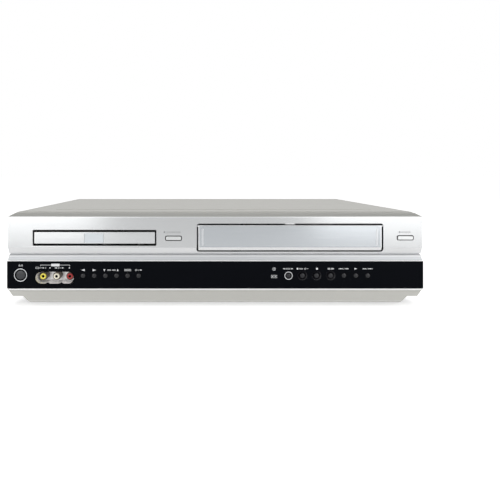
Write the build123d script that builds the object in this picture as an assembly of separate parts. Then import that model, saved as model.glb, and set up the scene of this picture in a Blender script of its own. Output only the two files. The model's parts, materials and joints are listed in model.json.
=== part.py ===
from build123d import *
import os
from math import cos, radians, sin

# A disc and cassette combo player. Millimetres, +Z up, +X to the right as seen from the front,
# the front towards -Y. The origin is at the middle of the footprint, under the feet.

# Overall size
width = 430.0
depth = 265.0
height = 97.5

# Depths of the front and the rear, from the foremost button to the tip of the rear sockets
button_proud = 0.5
window_thick = 2.5
bezel_depth = 12.0
bezel_wall = 2.6
socket_reach = 8.0
cover_sheet = 0.8
panel_sheet = 1.0
base_sheet = 1.0
foot_height = 3.5
field_rise = 0.5

button_front = -depth / 2
window_face = button_front + button_proud
bezel_face = window_face + window_thick
bezel_inner = bezel_face + bezel_wall
bezel_back = bezel_face + bezel_depth
panel_outer = depth / 2 - socket_reach
panel_inner = panel_outer - panel_sheet

# Fits
seat_gap = 0.1
slide_gap = 0.15
edge_gap = 0.3
shaft_gap = 0.05

# Front bezel: heights of its steps
end_inset = 0.5
bezel_half = width / 2 - end_inset
bezel_bottom = foot_height + 0.1
bezel_top_drop = 0.7
bevel_height = 3.4
bevel_end = 6.0
low_round = 2.9
face_bottom = 60.9
facet_bottom = 54.8
facet_depth = 2.4
groove_top = 54.3
groove_bottom = 53.4
groove_depth = 5.4
ledge_top = 52.6
window_top = 46.9
window_bottom = 19.1
lip_height = 0.7
lip_proud = 1.7
end_step_height = 10.7
step_out_run = 5.1
step_in_run = 15.5
foot_run = 22.5

# Disc side
disc_diameter = 120.0
disc_room = 0.5
disc_recess = 1.6
disc_slot = 36.0
disc_setback = 68.5
tray_rim = 1.8
tray_width = disc_diameter + 2 * (disc_room + tray_rim)
tray_length = 164.5
tray_thick = 5.0
tray_bottom = 66.4
door_overhang = 0.4
disc_door_width = tray_width + 2 * door_overhang
disc_door_bottom = 64.7
disc_door_height = 12.4
disc_door_thick = 3.0
disc_hole_side = 1.3
disc_hole_rim = 2.0
disc_hole_half = disc_door_width / 2 + disc_hole_side

# Tape side
cassette_half = 93.75
hole_margin = 2.75
tape_hole_half = cassette_half + hole_margin
tape_hole_bottom = 56.2
tape_hole_top = 85.6
tape_hole_round = 2.5
tape_door_gap = 1.3
door_sheet = 2.4
door_pin_radius = 1.0

# What the two doors leave of the front's width: the least that each stretch needs, and how the
# rest is shared among them, left of the disc door, between the doors and right of the flap
least_left = 6.0
least_middle = 22.0
least_right = 27.0
share_left = 19.7
share_middle = 19.9
share_right = 13.4
spare = 2 * (bezel_half - disc_hole_half - tape_hole_half) - least_left - least_middle - least_right
share_sum = share_left + share_middle + share_right
left_margin = least_left + spare * share_left / share_sum
middle_margin = least_middle + spare * share_middle / share_sum
right_margin = least_right + spare * share_right / share_sum
tray_x = -bezel_half + left_margin + disc_hole_half
tape_x = bezel_half - right_margin - tape_hole_half

# Front buttons, with each group's distance from its end of the front
button_travel = 0.8
cap_radius = 2.4
stem_radius = 1.5
flange_margin = 1.0
flange_thick = 0.8
power_end = 14.7
power_x = -(width / 2 - power_end)
power_z = 33.0
power_radius = 4.6
power_ring_outer = 7.15
power_ring_inner = 5.95
left_end = 78.9
left_first_x = -(width / 2 - left_end)
left_pitch = 11.46
left_z = 32.2
right_z = 32.4
selector_end = 139.5
selector_x = width / 2 - selector_end
selector_ring_outer = 4.65
selector_ring_inner = 3.7
deck_end = 125.1
deck_first_x = width / 2 - deck_end
deck_pitch = 14.5
small_end = 82.4
small_first_x = width / 2 - small_end
small_pitch = 12.3
dish_radius = 4.75
dish_depth = 1.3
bar_width = 16.6
bar_height = 4.3
bar_round = 1.4
bar_proud = 0.6
bar_gap = 0.45
open_least = 11.0
open_share = 6.8
open_x = tray_x + disc_hole_half + open_least + (middle_margin - least_middle) * open_share / share_middle
open_z = 70.5
eject_least = 14.0
eject_share = 8.8
eject_x = tape_x + tape_hole_half + eject_least + (right_margin - least_right) * eject_share / share_right
eject_z = 70.9

# Front jacks
jack_end = 49.6
jack_x = -(width / 2 - jack_end)
jack_z = 30.2
jack_pitch = 14.0
jack_radius = 4.15
jack_bore = 1.6
jack_set_back = 6.0
recess_width = 42.0
recess_height = 14.8
recess_depth = 15.5
recess_wall = 1.2

# Boards
board_thick = 1.6
switch_side = 6.0
board_level = 9.5
front_board_y = bezel_inner + 3.3

# Enclosure
side_inset = 1.5
cover_half = width / 2 - side_inset
cover_bottom = 8.0
cover_round = 5.5
field_side = 36.5
field_half = cover_half - field_side
field_front = 26.0
field_rear = 40.0
flange_rise = 10.5
foot_radius = 13.0
foot_side = 47.0
foot_x = width / 2 - foot_side
foot_end = 34.5
foot_y = depth / 2 - foot_end


# Plain shapes

def block(x0, x1, y0, y1, z0, z1):
    """A box between two values on each axis."""
    middle = Pos((x0 + x1) / 2, (y0 + y1) / 2, (z0 + z1) / 2)
    return middle * Box(x1 - x0, y1 - y0, z1 - z0)


def rod_x(y, z, radius, x0, x1):
    return Pos((x0 + x1) / 2, y, z) * Rot(0, 90, 0) * Cylinder(radius, x1 - x0)


def rod_y(x, z, radius, y0, y1):
    return Pos(x, (y0 + y1) / 2, z) * Rot(90, 0, 0) * Cylinder(radius, y1 - y0)


def rod_z(x, y, radius, z0, z1):
    return Pos(x, y, (z0 + z1) / 2) * Cylinder(radius, z1 - z0)


def front_bar(x, z, wide, high, rounding, y0, y1):
    """A bar along Y with a rounded rectangle for its section."""
    section = Plane.XZ * Pos(x, z) * RectangleRounded(wide, high, rounding)
    return Pos(0, y1, 0) * extrude(section, y1 - y0)


def capsule(x, z, wide, high, y0, y1):
    """A bar along Y with half-round ends."""
    section = Plane.XZ * Pos(x, z) * SlotOverall(wide, high)
    return Pos(0, y1, 0) * extrude(section, y1 - y0)


def side_prism(points, x0, x1):
    """A prism along X from an outline of (y, z) points."""
    section = Plane.YZ * make_face(Polyline(*points, close=True))
    return Pos(x0, 0, 0) * extrude(section, x1 - x0)


def front_prism(points, y0, y1):
    """A prism along Y from an outline of (x, z) points."""
    section = Plane.XZ * make_face(Polyline(*points, close=True))
    return Pos(0, y1, 0) * extrude(section, y1 - y0)


def both_sides(shape):
    """The shape and its mirror image in X."""
    return shape + mirror(shape, about=Plane.YZ)


# Where the buttons are

left_names = [
    "cursor_left_button",
    "cursor_right_button",
    "cursor_down_button",
    "cursor_up_button",
    "menu_button",
    "enter_button",
]
dish_names = ["record_button", "stop_button", "pause_button"]
small_names = ["rewind_button", "play_button", "forward_button"]

left_buttons = {name: left_first_x + i * left_pitch for i, name in enumerate(left_names)}
dish_buttons = {name: deck_first_x + i * deck_pitch for i, name in enumerate(dish_names)}
small_buttons = {name: small_first_x + i * small_pitch for i, name in enumerate(small_names)}

round_buttons = {"power_button": (power_x, power_z, power_radius)}
for name, x in left_buttons.items():
    round_buttons[name] = (x, left_z, cap_radius)
round_buttons["selector_button"] = (selector_x, right_z, cap_radius)
for name, x in {**dish_buttons, **small_buttons}.items():
    round_buttons[name] = (x, right_z, cap_radius)

bar_buttons = {"open_close_button": (open_x, open_z), "eject_button": (eject_x, eject_z)}


# Front panel

bezel_top = height - field_rise - bezel_top_drop

def bezel_section(back, bottom, top):
    """The side view of the front panel, without its lips, as a face on (y, z)."""
    outline = Polyline(
        (back, top),
        (bezel_face, top),
        (bezel_face, face_bottom),
        (bezel_face + facet_depth, facet_bottom),
        (bezel_face + groove_depth, groove_top),
        (bezel_face + groove_depth, groove_bottom),
        (bezel_face + facet_depth, ledge_top),
        (bezel_face, window_top + lip_height),
        (bezel_face, bottom),
        (back, bottom),
        close=True,
    )
    face = make_face(outline)
    top_corner = face.vertices().sort_by_distance((bezel_face, top, 0))[0]
    face = chamfer(top_corner, bevel_height)
    low_corner = face.vertices().sort_by_distance((bezel_face, bottom, 0))[0]
    return fillet(low_corner, low_round)


def end_step():
    """What is cut from each lower end of the front panel, as a face on (x, z)."""
    outline = Polyline(
        (width, window_bottom - lip_height - 0.5),
        (bezel_half, window_bottom - lip_height - 0.5),
        (bezel_half - step_out_run, end_step_height),
        (bezel_half - step_in_run, end_step_height),
        (bezel_half - foot_run, bezel_bottom),
        (bezel_half - foot_run, -foot_height),
        (width, -foot_height),
        close=True,
    )
    return make_face(outline)


def end_bevel():
    """What is cut from each upper end of the front panel, as a face on (x, z)."""
    low = bezel_top - bevel_height
    outline = Polyline(
        (bezel_half + bevel_end, low - bevel_height),
        (bezel_half - 2 * bevel_end, low + 2 * bevel_height),
        (bezel_half + bevel_end, low + 2 * bevel_height),
        close=True,
    )
    return make_face(outline)


def end_cut(face):
    cut = Pos(0, bezel_back + 1, 0) * extrude(Plane.XZ * face, bezel_depth + 3)
    return both_sides(cut)


def lip(z_near, z_far):
    """A thin lip along the window, from its edge to where it meets the panel."""
    tip = bezel_face - lip_proud
    middle = z_near + (z_far - z_near) * 0.7
    points = [(bezel_face, z_near), (tip, z_near), (tip, middle), (bezel_face, z_far)]
    return side_prism(points, -bezel_half, bezel_half)


def boss(x, z, y_end, radius=2.2):
    """A boss on the back of the panel that carries a board."""
    return rod_y(x, z, radius, bezel_inner - 0.2, y_end)


display_half = 42.0
display_bottom = 25.0
display_top = 41.0
boss_drop = 9.0
left_last_x = left_first_x + (len(left_names) - 1) * left_pitch
small_last_x = small_first_x + (len(small_names) - 1) * small_pitch
board_boss_x = [
    left_first_x - 0.9,
    left_last_x + 6.8,
    -display_half - 8.0,
    display_half + 10.0,
    selector_x - 9.5,
    small_last_x + 9.8,
]
power_boss_z = [power_z - 9.5, power_z + 9.5]
bar_board_y = bezel_inner + 4.2
bar_boss_reach = 6.0


def front_bezel():
    outer = extrude(Plane.YZ * bezel_section(bezel_back, bezel_bottom, bezel_top), bezel_half, both=True)
    outer -= end_cut(end_step())
    outer -= end_cut(end_bevel())
    inner_face = offset(
        bezel_section(bezel_back + 3 * bezel_wall, bezel_bottom, bezel_top),
        -bezel_wall,
        kind=Kind.INTERSECTION,
    )
    inner = extrude(Plane.YZ * inner_face, bezel_half - bezel_wall, both=True)
    inner -= end_cut(offset(end_step(), bezel_wall, kind=Kind.INTERSECTION))
    inner -= end_cut(offset(end_bevel(), bezel_wall, kind=Kind.INTERSECTION))
    shell = outer - inner
    shell += lip(window_top + 0.05, window_top + lip_height + 0.3)
    shell += lip(window_bottom - 0.05, window_bottom - lip_height - 0.3)
    tray_z = disc_door_bottom + disc_door_height / 2
    shell -= front_bar(
        tray_x,
        tray_z,
        disc_door_width + 2 * disc_hole_side,
        disc_door_height + 2 * disc_hole_rim,
        1.0,
        bezel_face - 1,
        bezel_inner + 1,
    )
    shell -= front_bar(
        tape_x,
        (tape_hole_bottom + tape_hole_top) / 2,
        2 * tape_hole_half,
        tape_hole_top - tape_hole_bottom,
        tape_hole_round,
        bezel_face - 1,
        bezel_face + groove_depth + bezel_wall,
    )
    for side in (-1, 1):
        inside = tape_x + side * tape_hole_half
        ear_ends = sorted((inside, inside + side * 3.0))
        shell += block(*ear_ends, bezel_inner - 0.2, bezel_inner + 3, tape_pin_z - 4, tape_pin_z + 3)
        pin_ends = sorted((inside - side, inside + side * (door_pin_reach + 0.2)))
        shell -= rod_x(tape_pin_y, tape_pin_z, door_pin_radius + seat_gap, *pin_ends)
    for x, z, radius in round_buttons.values():
        shell -= rod_y(x, z, radius + slide_gap, bezel_face - 1, bezel_inner + 1)
    for x, z in bar_buttons.values():
        shell -= bar_hole(x, z, bezel_face - 1, bezel_inner + 1)
        for side in (-1, 1):
            shell += boss(x, z + side * bar_boss_reach, bar_board_y)
    shell -= recess_hole(0)
    shell -= block(
        -display_half - edge_gap,
        display_half + edge_gap,
        bezel_face - 0.5,
        bezel_inner + 1,
        display_bottom - edge_gap,
        display_top + edge_gap,
    )
    for x in board_boss_x:
        shell += boss(x, right_z - boss_drop, front_board_y)
    for z in power_boss_z:
        shell += boss(power_x, z, front_board_y)
    return shell


def bar_hole(x, z, y0, y1):
    return front_bar(x, z, bar_width + 2 * bar_gap, bar_height + 2 * bar_gap, bar_round + bar_gap, y0, y1)


def recess_hole(grow):
    """The capsule that is cut out for the jack recess."""
    y_end = window_face + recess_depth + recess_wall + 1
    wide = recess_width + 2 * grow
    high = recess_height + 2 * grow
    return capsule(jack_x, jack_z, wide, high, window_face - 1, y_end)


def control_window():
    """The glossy strip across the front, with rounded ends and a dish round some buttons."""
    middle = (window_top + window_bottom) / 2
    body = block(-width / 2, width / 2, window_face, bezel_face, window_bottom, window_top)
    ends = body.edges().filter_by(Axis.Z).group_by(Axis.Y)[0]
    body = fillet(ends, window_thick * 0.8)
    long_edges = body.faces().sort_by(Axis.Y)[0].edges().filter_by(Axis.X)
    body = fillet(long_edges, 0.4)
    for x, z, radius in round_buttons.values():
        body -= rod_y(x, z, radius + slide_gap, window_face - 1, bezel_face + 1)
    for x in dish_buttons.values():
        cone = Cone(dish_radius - dish_depth, dish_radius, dish_depth)
        dish = Pos(x, window_face + dish_depth / 2, right_z) * Rot(90, 0, 0) * cone
        body -= dish
    body -= ring(power_x, power_z, power_ring_outer + shaft_gap, power_ring_inner - shaft_gap, 0)
    body -= ring(selector_x, right_z, selector_ring_outer + shaft_gap, selector_ring_inner - shaft_gap, 0)
    body -= recess_hole(0)
    return body


ring_depth = 1.0
ring_proud = 0.3


def ring(x, z, outer, inner, proud):
    """A flat ring let into the face of the strip."""
    y0 = window_face - proud
    y1 = window_face + ring_depth
    return rod_y(x, z, outer, y0, y1) - rod_y(x, z, inner, y0 - 1, y1 + 1)


def power_ring():
    return ring(power_x, power_z, power_ring_outer, power_ring_inner, ring_proud)


def selector_ring():
    return ring(selector_x, right_z, selector_ring_outer, selector_ring_inner, ring_proud)


# Buttons

switch_reach = 0.9


def round_button(x, z, radius):
    """A cap that stands just proud of the strip, with a flange behind the panel and a stem."""
    cap = rod_y(x, z, radius, button_front, bezel_inner + seat_gap)
    cap = chamfer(cap.faces().sort_by(Axis.Y)[0].edges(), 0.25)
    flange = rod_y(x, z, radius + flange_margin, bezel_inner + seat_gap, bezel_inner + seat_gap + flange_thick)
    stem_end = front_board_y - switch_reach - button_travel - seat_gap
    stem = rod_y(x, z, stem_radius, bezel_inner + seat_gap, stem_end)
    return cap + flange + stem


def bar_button(x, z):
    """A rounded bar with a flange behind the panel and a stem to its switch."""
    cap = front_bar(x, z, bar_width, bar_height, bar_round, bezel_face - bar_proud, bezel_inner + seat_gap)
    cap = fillet(cap.faces().sort_by(Axis.Y)[0].edges(), 0.4)
    wide = bar_width + 2 * bar_gap + 1.2
    high = bar_height + 2 * bar_gap + 1.2
    flange_end = bezel_inner + seat_gap + flange_thick
    flange = front_bar(x, z, wide, high, bar_round, bezel_inner + seat_gap, flange_end)
    stem_end = bar_board_y - switch_reach - button_travel - seat_gap
    stem = rod_y(x, z, stem_radius, bezel_inner, stem_end)
    return cap + flange + stem


def switch(x, z, board_y):
    half = switch_side / 2
    return block(x - half, x + half, board_y - switch_reach, board_y, z - half, z + half)


def front_board():
    """The boards behind the buttons: strip, power, open and eject, with a switch at each button."""
    strip = block(
        board_boss_x[0] - 4,
        board_boss_x[-1] + 4,
        front_board_y,
        front_board_y + board_thick,
        right_z - 12,
        display_top + 3,
    )
    power = block(
        power_x - 7,
        power_x + 7,
        front_board_y,
        front_board_y + board_thick,
        power_boss_z[0] - 3,
        power_boss_z[1] + 3,
    )
    boards = strip + power
    for x, z, radius in round_buttons.values():
        boards += switch(x, z, front_board_y)
    for x, z in bar_buttons.values():
        half = bar_boss_reach + 2.5
        boards += block(x - 7, x + 7, bar_board_y, bar_board_y + board_thick, z - half, z + half)
        boards += switch(x, z, bar_board_y)
    return boards


def display_tube():
    """The flat glass display in the panel's window, on the front board."""
    return block(
        -display_half,
        display_half,
        bezel_face + edge_gap,
        front_board_y,
        display_bottom,
        display_top,
    )


# Front jacks

def av_jack_plate():
    """The pale cup that the front jacks stand in: a capsule with a scalloped lower wall."""
    y0 = window_face + 0.2
    floor = window_face + recess_depth
    y1 = floor + recess_wall
    wide = recess_width - 2 * seat_gap
    high = recess_height - 2 * seat_gap
    cup = capsule(jack_x, jack_z, wide, high, y0, y1)
    cup -= capsule(jack_x, jack_z, wide - 2 * recess_wall, high - 2 * recess_wall, y0 - 1, floor)
    for side in (-0.5, 0.5):
        x = jack_x + side * jack_pitch
        z = jack_z - recess_height / 2 + recess_wall
        points = [(x - 2.6, z), (x + 2.6, z), (x, z + 1.5)]
        cup += front_prism(points, y0, floor)
    flange = capsule(jack_x, jack_z, wide + 5, high + 5, bezel_inner + seat_gap, bezel_inner + 1.6)
    flange -= capsule(jack_x, jack_z, wide - 1, high - 1, bezel_inner, bezel_inner + 3)
    return cup + flange


def front_jack(place):
    """One jack of the recess: a collar with a bore, on the floor of the cup."""
    x = jack_x + place * jack_pitch
    tip = window_face + jack_set_back
    floor = window_face + recess_depth
    collar = rod_y(x, jack_z, jack_radius, tip, floor)
    collar = fillet(collar.faces().sort_by(Axis.Y)[0].edges(), 0.5)
    return collar - rod_y(x, jack_z, jack_bore, tip - 1, floor - 1)


# Disc side

tray_top = tray_bottom + tray_thick
tray_half = tray_width / 2
tray_front = bezel_face + disc_door_thick
tray_back = tray_front + tray_length
disc_y = tray_front + disc_setback
rail_gap = 0.2
loader_wall = 2.0
loader_inner = tray_half + 0.3
loader_outer = loader_inner + loader_wall
loader_front = bezel_back + 1.5
loader_back = tray_back + 20.0
loader_floor = 50.0
loader_floor_thick = 2.0
loader_top = 80.0
bridge_front = disc_y - 18.0
bridge_back = disc_y + 18.0
bridge_thick = 2.0
clamp_radius = 13.8
rack_inset = 7.0
rack_reach = tray_half - rack_inset
rack_width = 2.0
gear_radius = 10.0
gear_x = tray_x + rack_reach - edge_gap - gear_radius
gear_setback = 28.5
gear_y = tray_front + gear_setback
floor_top = loader_floor + loader_floor_thick
rod_reach = 26.0
rod_radius = 1.5
rod_level = 56.0
sled_inner = disc_y + 24.0
sled_travel = 34.0
sled_half = 9.0
screw_reach = 34.0
screw_radius = 1.8
rod_block = 4.0
rod_front = sled_inner - sled_half - rod_block - 1.0
rod_back = sled_inner + sled_travel + sled_half + rod_block + 1.0
loader_leg_y = [loader_front + 6.0, loader_back - 6.0]
loader_leg_radius = 4.0


def disc_door():
    """The narrow door on the front of the tray."""
    z = disc_door_bottom + disc_door_height / 2
    door = front_bar(tray_x, z, disc_door_width, disc_door_height, 0.8, bezel_face, tray_front)
    return fillet(door.faces().sort_by(Axis.Y)[0].edges(), 0.3)


def disc_tray():
    """The tray: a round recess for the disc, a slot that is open to the rear, and a rack."""
    plate = block(tray_x - tray_half, tray_x + tray_half, tray_front, tray_back, tray_bottom, tray_top)
    plate -= rod_z(tray_x, disc_y, disc_diameter / 2 + disc_room, tray_top - disc_recess, tray_top + 1)
    plate -= rod_z(tray_x, disc_y, 40.5, tray_top - disc_recess - 0.8, tray_top + 1)
    plate -= rod_z(tray_x, disc_y, disc_slot / 2, tray_bottom - 1, tray_top + 1)
    plate -= block(
        tray_x - disc_slot / 2, tray_x + disc_slot / 2, disc_y, tray_back + 1, tray_bottom - 1, tray_top + 1
    )
    rack = block(
        tray_x + rack_reach,
        tray_x + rack_reach + rack_width,
        tray_front + 6,
        tray_back,
        tray_bottom - 3,
        tray_bottom,
    )
    return plate + rack


def loader_frame():
    """The tray's frame: floor, side walls with rails, a bridge over the disc, and four legs."""
    frame = block(
        tray_x - loader_outer, tray_x + loader_outer, loader_front, loader_back, loader_floor, floor_top
    )
    frame -= block(
        tray_x - 22, tray_x + 22, rod_front + 4, rod_back - 4, loader_floor - 1, floor_top + 1
    )
    for side in (-1, 1):
        xs = sorted((tray_x + side * loader_inner, tray_x + side * loader_outer))
        frame += block(*xs, loader_front, loader_back, loader_floor, loader_top)
        low = sorted((tray_x + side * (loader_outer - 1), tray_x + side * (tray_half - 3.5)))
        frame += block(*low, loader_front, loader_back, tray_bottom - rail_gap - 1.6, tray_bottom - rail_gap)
        high = sorted((tray_x + side * (loader_outer - 1), tray_x + side * (tray_half - 1.4)))
        frame += block(*high, loader_front, loader_back, tray_top + rail_gap, tray_top + rail_gap + 1.6)
        for y in loader_leg_y:
            frame += rod_z(tray_x + side * (loader_inner - 4), y, loader_leg_radius, base_top, floor_top)
    frame += block(
        tray_x - loader_outer,
        tray_x + loader_outer,
        bridge_front,
        bridge_back,
        loader_top,
        loader_top + bridge_thick,
    )
    frame -= rod_z(tray_x, disc_y, clamp_radius + edge_gap, loader_top - 1, loader_top + bridge_thick + 1)
    for side in (-1, 1):
        x = tray_x + side * rod_reach
        for y0 in (rod_front, rod_back - rod_block):
            frame += block(x - 3, x + 3, y0, y0 + rod_block, floor_top - 0.5, rod_level + 3)
            frame -= rod_y(x, rod_level, rod_radius + shaft_gap, y0 - 1, y0 + 5)
    x = tray_x + screw_reach
    for y0 in (rod_front, rod_back - rod_block):
        frame += block(x - 3, x + 3, y0, y0 + rod_block, floor_top - 0.5, rod_level + 3)
        frame -= rod_y(x, rod_level, screw_radius + shaft_gap, y0 - 1, y0 + 5)
    frame += rod_z(gear_x, gear_y, 2.0, floor_top - 0.5, tray_bottom - 0.6)
    return frame


def tray_gear():
    """The gear on the loader's floor that drives the tray's rack."""
    low = tray_bottom - 3.5
    body = rod_z(gear_x, gear_y, gear_radius, low, tray_bottom - 0.4)
    body += rod_z(gear_x, gear_y, 4.0, floor_top + seat_gap, low)
    tooth_count = 30
    notch = 0.8
    for i in range(tooth_count):
        turn = Pos(gear_x, gear_y, low - 1) * Rot(0, 0, 360 * (i + 0.5) / tooth_count)
        body -= turn * Pos(gear_radius, 0, 3) * Box(2 * notch, 1.0, 8)
    return body - rod_z(gear_x, gear_y, 2.0 + shaft_gap, floor_top - 1, tray_top)


def spindle_motor():
    """The flat motor under the turntable."""
    can = rod_z(tray_x, disc_y, 13.0, floor_top, tray_bottom - 2.0)
    return can - rod_z(tray_x, disc_y, 1.5 + shaft_gap, floor_top + 1, tray_bottom)


def turntable():
    """The platter that turns the disc, with its cone and shaft."""
    shaft = rod_z(tray_x, disc_y, 1.5, floor_top + 1 + seat_gap, tray_bottom)
    platter = rod_z(tray_x, disc_y, 14.0, tray_bottom - 2.0 + seat_gap, tray_top - disc_recess - 0.1)
    cone = Pos(tray_x, disc_y, tray_top - disc_recess + 0.7) * Cone(7.4, 5.5, 1.6)
    return shaft + platter + cone


def disc_clamp():
    """The puck that holds the disc from above, hanging in the bridge."""
    bridge_top = loader_top + bridge_thick
    body = rod_z(tray_x, disc_y, clamp_radius, tray_top + 0.6, bridge_top + seat_gap)
    body += rod_z(tray_x, disc_y, clamp_radius + 3, bridge_top + seat_gap, bridge_top + 2)
    return body - rod_z(tray_x, disc_y, 8.0, tray_top, tray_top + 2.5)


def guide_rods():
    rods = rod_y(tray_x - rod_reach, rod_level, rod_radius, rod_front, rod_back)
    return rods + rod_y(tray_x + rod_reach, rod_level, rod_radius, rod_front, rod_back)


def pickup_sled():
    """The sled with its lens, on the two rods."""
    y0 = sled_inner - sled_half
    y1 = sled_inner + sled_half
    sled = block(tray_x - rod_reach - 4, tray_x + rod_reach + 4, y0, y1, floor_top + 1.2, rod_level + 3.5)
    for side in (-1, 1):
        sled -= rod_y(tray_x + side * rod_reach, rod_level, rod_radius + shaft_gap, y0 - 1, y1 + 1)
    sled += rod_z(tray_x, sled_inner, 7.0, rod_level + 3, tray_bottom - 2.5)
    sled += rod_z(tray_x, sled_inner, 3.5, rod_level + 3, tray_bottom - 1.0)
    return sled


def lead_screw():
    x = tray_x + screw_reach
    screw = rod_y(x, rod_level, screw_radius, rod_front, rod_back + 2.0)
    return screw + rod_y(x, rod_level, 3.2, rod_front + 4 + seat_gap, rod_front + 6)


def sled_motor():
    """The small motor on the end of the screw, on the loader's floor."""
    x = tray_x + screw_reach
    y0 = rod_back + 2.0 + seat_gap
    motor = rod_y(x, rod_level, rod_level - floor_top - 0.1, y0, y0 + 16)
    foot = block(x - 4, x + 4, y0, y0 + 16, floor_top, rod_level)
    return motor + foot


# Tape side

tape_pin_y = bezel_face + 1.3
tape_pin_z = tape_hole_top - tape_door_gap - 0.9
door_pin_reach = 1.8
deck_front = -92.0
deck_back = 102.0
deck_level = 26.0
deck_thick = 1.5
deck_top = deck_level + deck_thick
deck_leg_radius = 3.5
carrier_sheet = 1.0
cassette_gap = 0.5
carrier_inner = cassette_half + cassette_gap
carrier_floor = 57.0
carrier_room = 26.2
carrier_front = -98.0
carrier_length = 96.0
carrier_in = 32.0
carrier_drop = 24.0
slide_sheet = 1.0
side_gap = 0.35
slide_inner = carrier_inner + carrier_sheet + side_gap
slide_outer = slide_inner + slide_sheet
bracket_inner = slide_outer + side_gap
bracket_sheet = 1.0
bracket_outer = bracket_inner + bracket_sheet
bracket_top = 90.0
strap_front = -60.0
strap_back = -36.0
deck_margin = 1.05
deck_half = bracket_outer + deck_margin
pin_radius = 1.5
pin_room = 0.1
carrier_pin_y = [carrier_front + 16.0, carrier_front + carrier_length - 16.0]
carrier_pin_z = carrier_floor + 12.0
slide_pin_y = [carrier_front + 34.0, carrier_front + carrier_length - 34.0]
slide_pin_z = carrier_floor + 27.0
reel_pitch = 92.0
reel_y = -22.0
reel_radius = 20.0
drum_y = 67.0
drum_radius = 31.0
drum_tilt = 5.5
capstan_x = tape_x + 45.0
capstan_y = 42.0
capstan_radius = 2.0
flywheel_radius = 22.0
roller_radius = 6.5
roller_run = 0.2
arm_length = 24.0
arm_open = 25.0
arm_x = capstan_x + capstan_radius + roller_radius + roller_run
arm_y = capstan_y + arm_length
roller_x = arm_x + arm_length * sin(radians(arm_open))
roller_y = arm_y - arm_length * cos(radians(arm_open))
base_top = foot_height + base_sheet


def cassette_door():
    """The flap over the cassette slot, hung at its top, with its lower edge turned in."""
    top = tape_hole_top - tape_door_gap
    bottom = tape_hole_bottom + tape_door_gap
    slope = facet_depth / (face_bottom - facet_bottom)
    tuck = (face_bottom - bottom) * slope
    points = [
        (bezel_face, top),
        (bezel_face, face_bottom),
        (bezel_face + tuck, bottom),
        (bezel_face + tuck + door_sheet, bottom),
        (bezel_face + door_sheet, face_bottom),
        (bezel_face + door_sheet, top),
    ]
    half = tape_hole_half - tape_door_gap
    door = side_prism(points, tape_x - half, tape_x + half)
    top_edges = door.faces().sort_by(Axis.Z)[-1].edges().filter_by(Axis.X)
    door = fillet(top_edges, 0.8)
    for side in (-1, 1):
        ends = sorted((tape_x + side * (half - 1), tape_x + side * (tape_hole_half + door_pin_reach)))
        door += rod_x(tape_pin_y, tape_pin_z, door_pin_radius, *ends)
    return door


def deck_plate():
    """The steel plate of the tape deck on its four legs, with the reels' and the arm's pins."""
    plate = block(tape_x - deck_half, tape_x + deck_half, deck_front, deck_back, deck_level, deck_top)
    for x in (tape_x - deck_half + 8, tape_x + deck_half - 8):
        for y in (deck_front + 8, deck_back - 8):
            plate += rod_z(x, y, deck_leg_radius, base_top, deck_level + 0.5)
    plate += rod_z(capstan_x, capstan_y, 5.0, deck_top - 0.5, deck_top + 8)
    plate -= rod_z(capstan_x, capstan_y, capstan_radius + shaft_gap, deck_level - 1, deck_top + 9)
    for side in (-1, 1):
        plate += rod_z(tape_x + side * reel_pitch / 2, reel_y, 1.5, deck_top - 0.5, deck_top + 12)
    plate += rod_z(arm_x, arm_y, 2.0, deck_top - 0.5, deck_top + 14)
    return plate


def deck_sides():
    """The two side brackets that the carrier's slides run in, with a strap over the top."""
    slot_front = slide_pin_y[0] - pin_radius - pin_room
    slot_back = slide_pin_y[1] + carrier_in + pin_radius + pin_room
    plates = None
    for side in (-1, 1):
        xs = sorted((tape_x + side * bracket_inner, tape_x + side * bracket_outer))
        plate = block(*xs, deck_front, slot_back + 8, deck_top, bracket_top)
        plate -= block(
            xs[0] - 1,
            xs[1] + 1,
            slot_front,
            slot_back,
            slide_pin_z - pin_radius - pin_room,
            slide_pin_z + pin_radius + pin_room,
        )
        plates = plate if plates is None else plates + plate
    strap = block(tape_x - bracket_outer, tape_x + bracket_outer, strap_front, strap_back, bracket_top, bracket_top + 1.0)
    return plates + strap


def carrier_slides():
    """The two slides that take the carrier inwards; it drops in their upright slots."""
    plates = None
    for side in (-1, 1):
        xs = sorted((tape_x + side * slide_inner, tape_x + side * slide_outer))
        low = carrier_pin_z - carrier_drop - pin_radius - 3
        plate = block(*xs, carrier_front + 6, carrier_front + carrier_length - 6, low, slide_pin_z + 4)
        for y in carrier_pin_y:
            plate -= block(
                xs[0] - 1,
                xs[1] + 1,
                y - pin_radius - pin_room,
                y + pin_radius + pin_room,
                carrier_pin_z - carrier_drop - pin_radius - pin_room,
                carrier_pin_z + pin_radius + pin_room,
            )
        for y in slide_pin_y:
            ends = sorted((tape_x + side * slide_outer, tape_x + side * (bracket_outer - 0.1)))
            plate += rod_x(y, slide_pin_z, pin_radius, *ends)
        plates = plate if plates is None else plates + plate
    return plates


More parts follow.
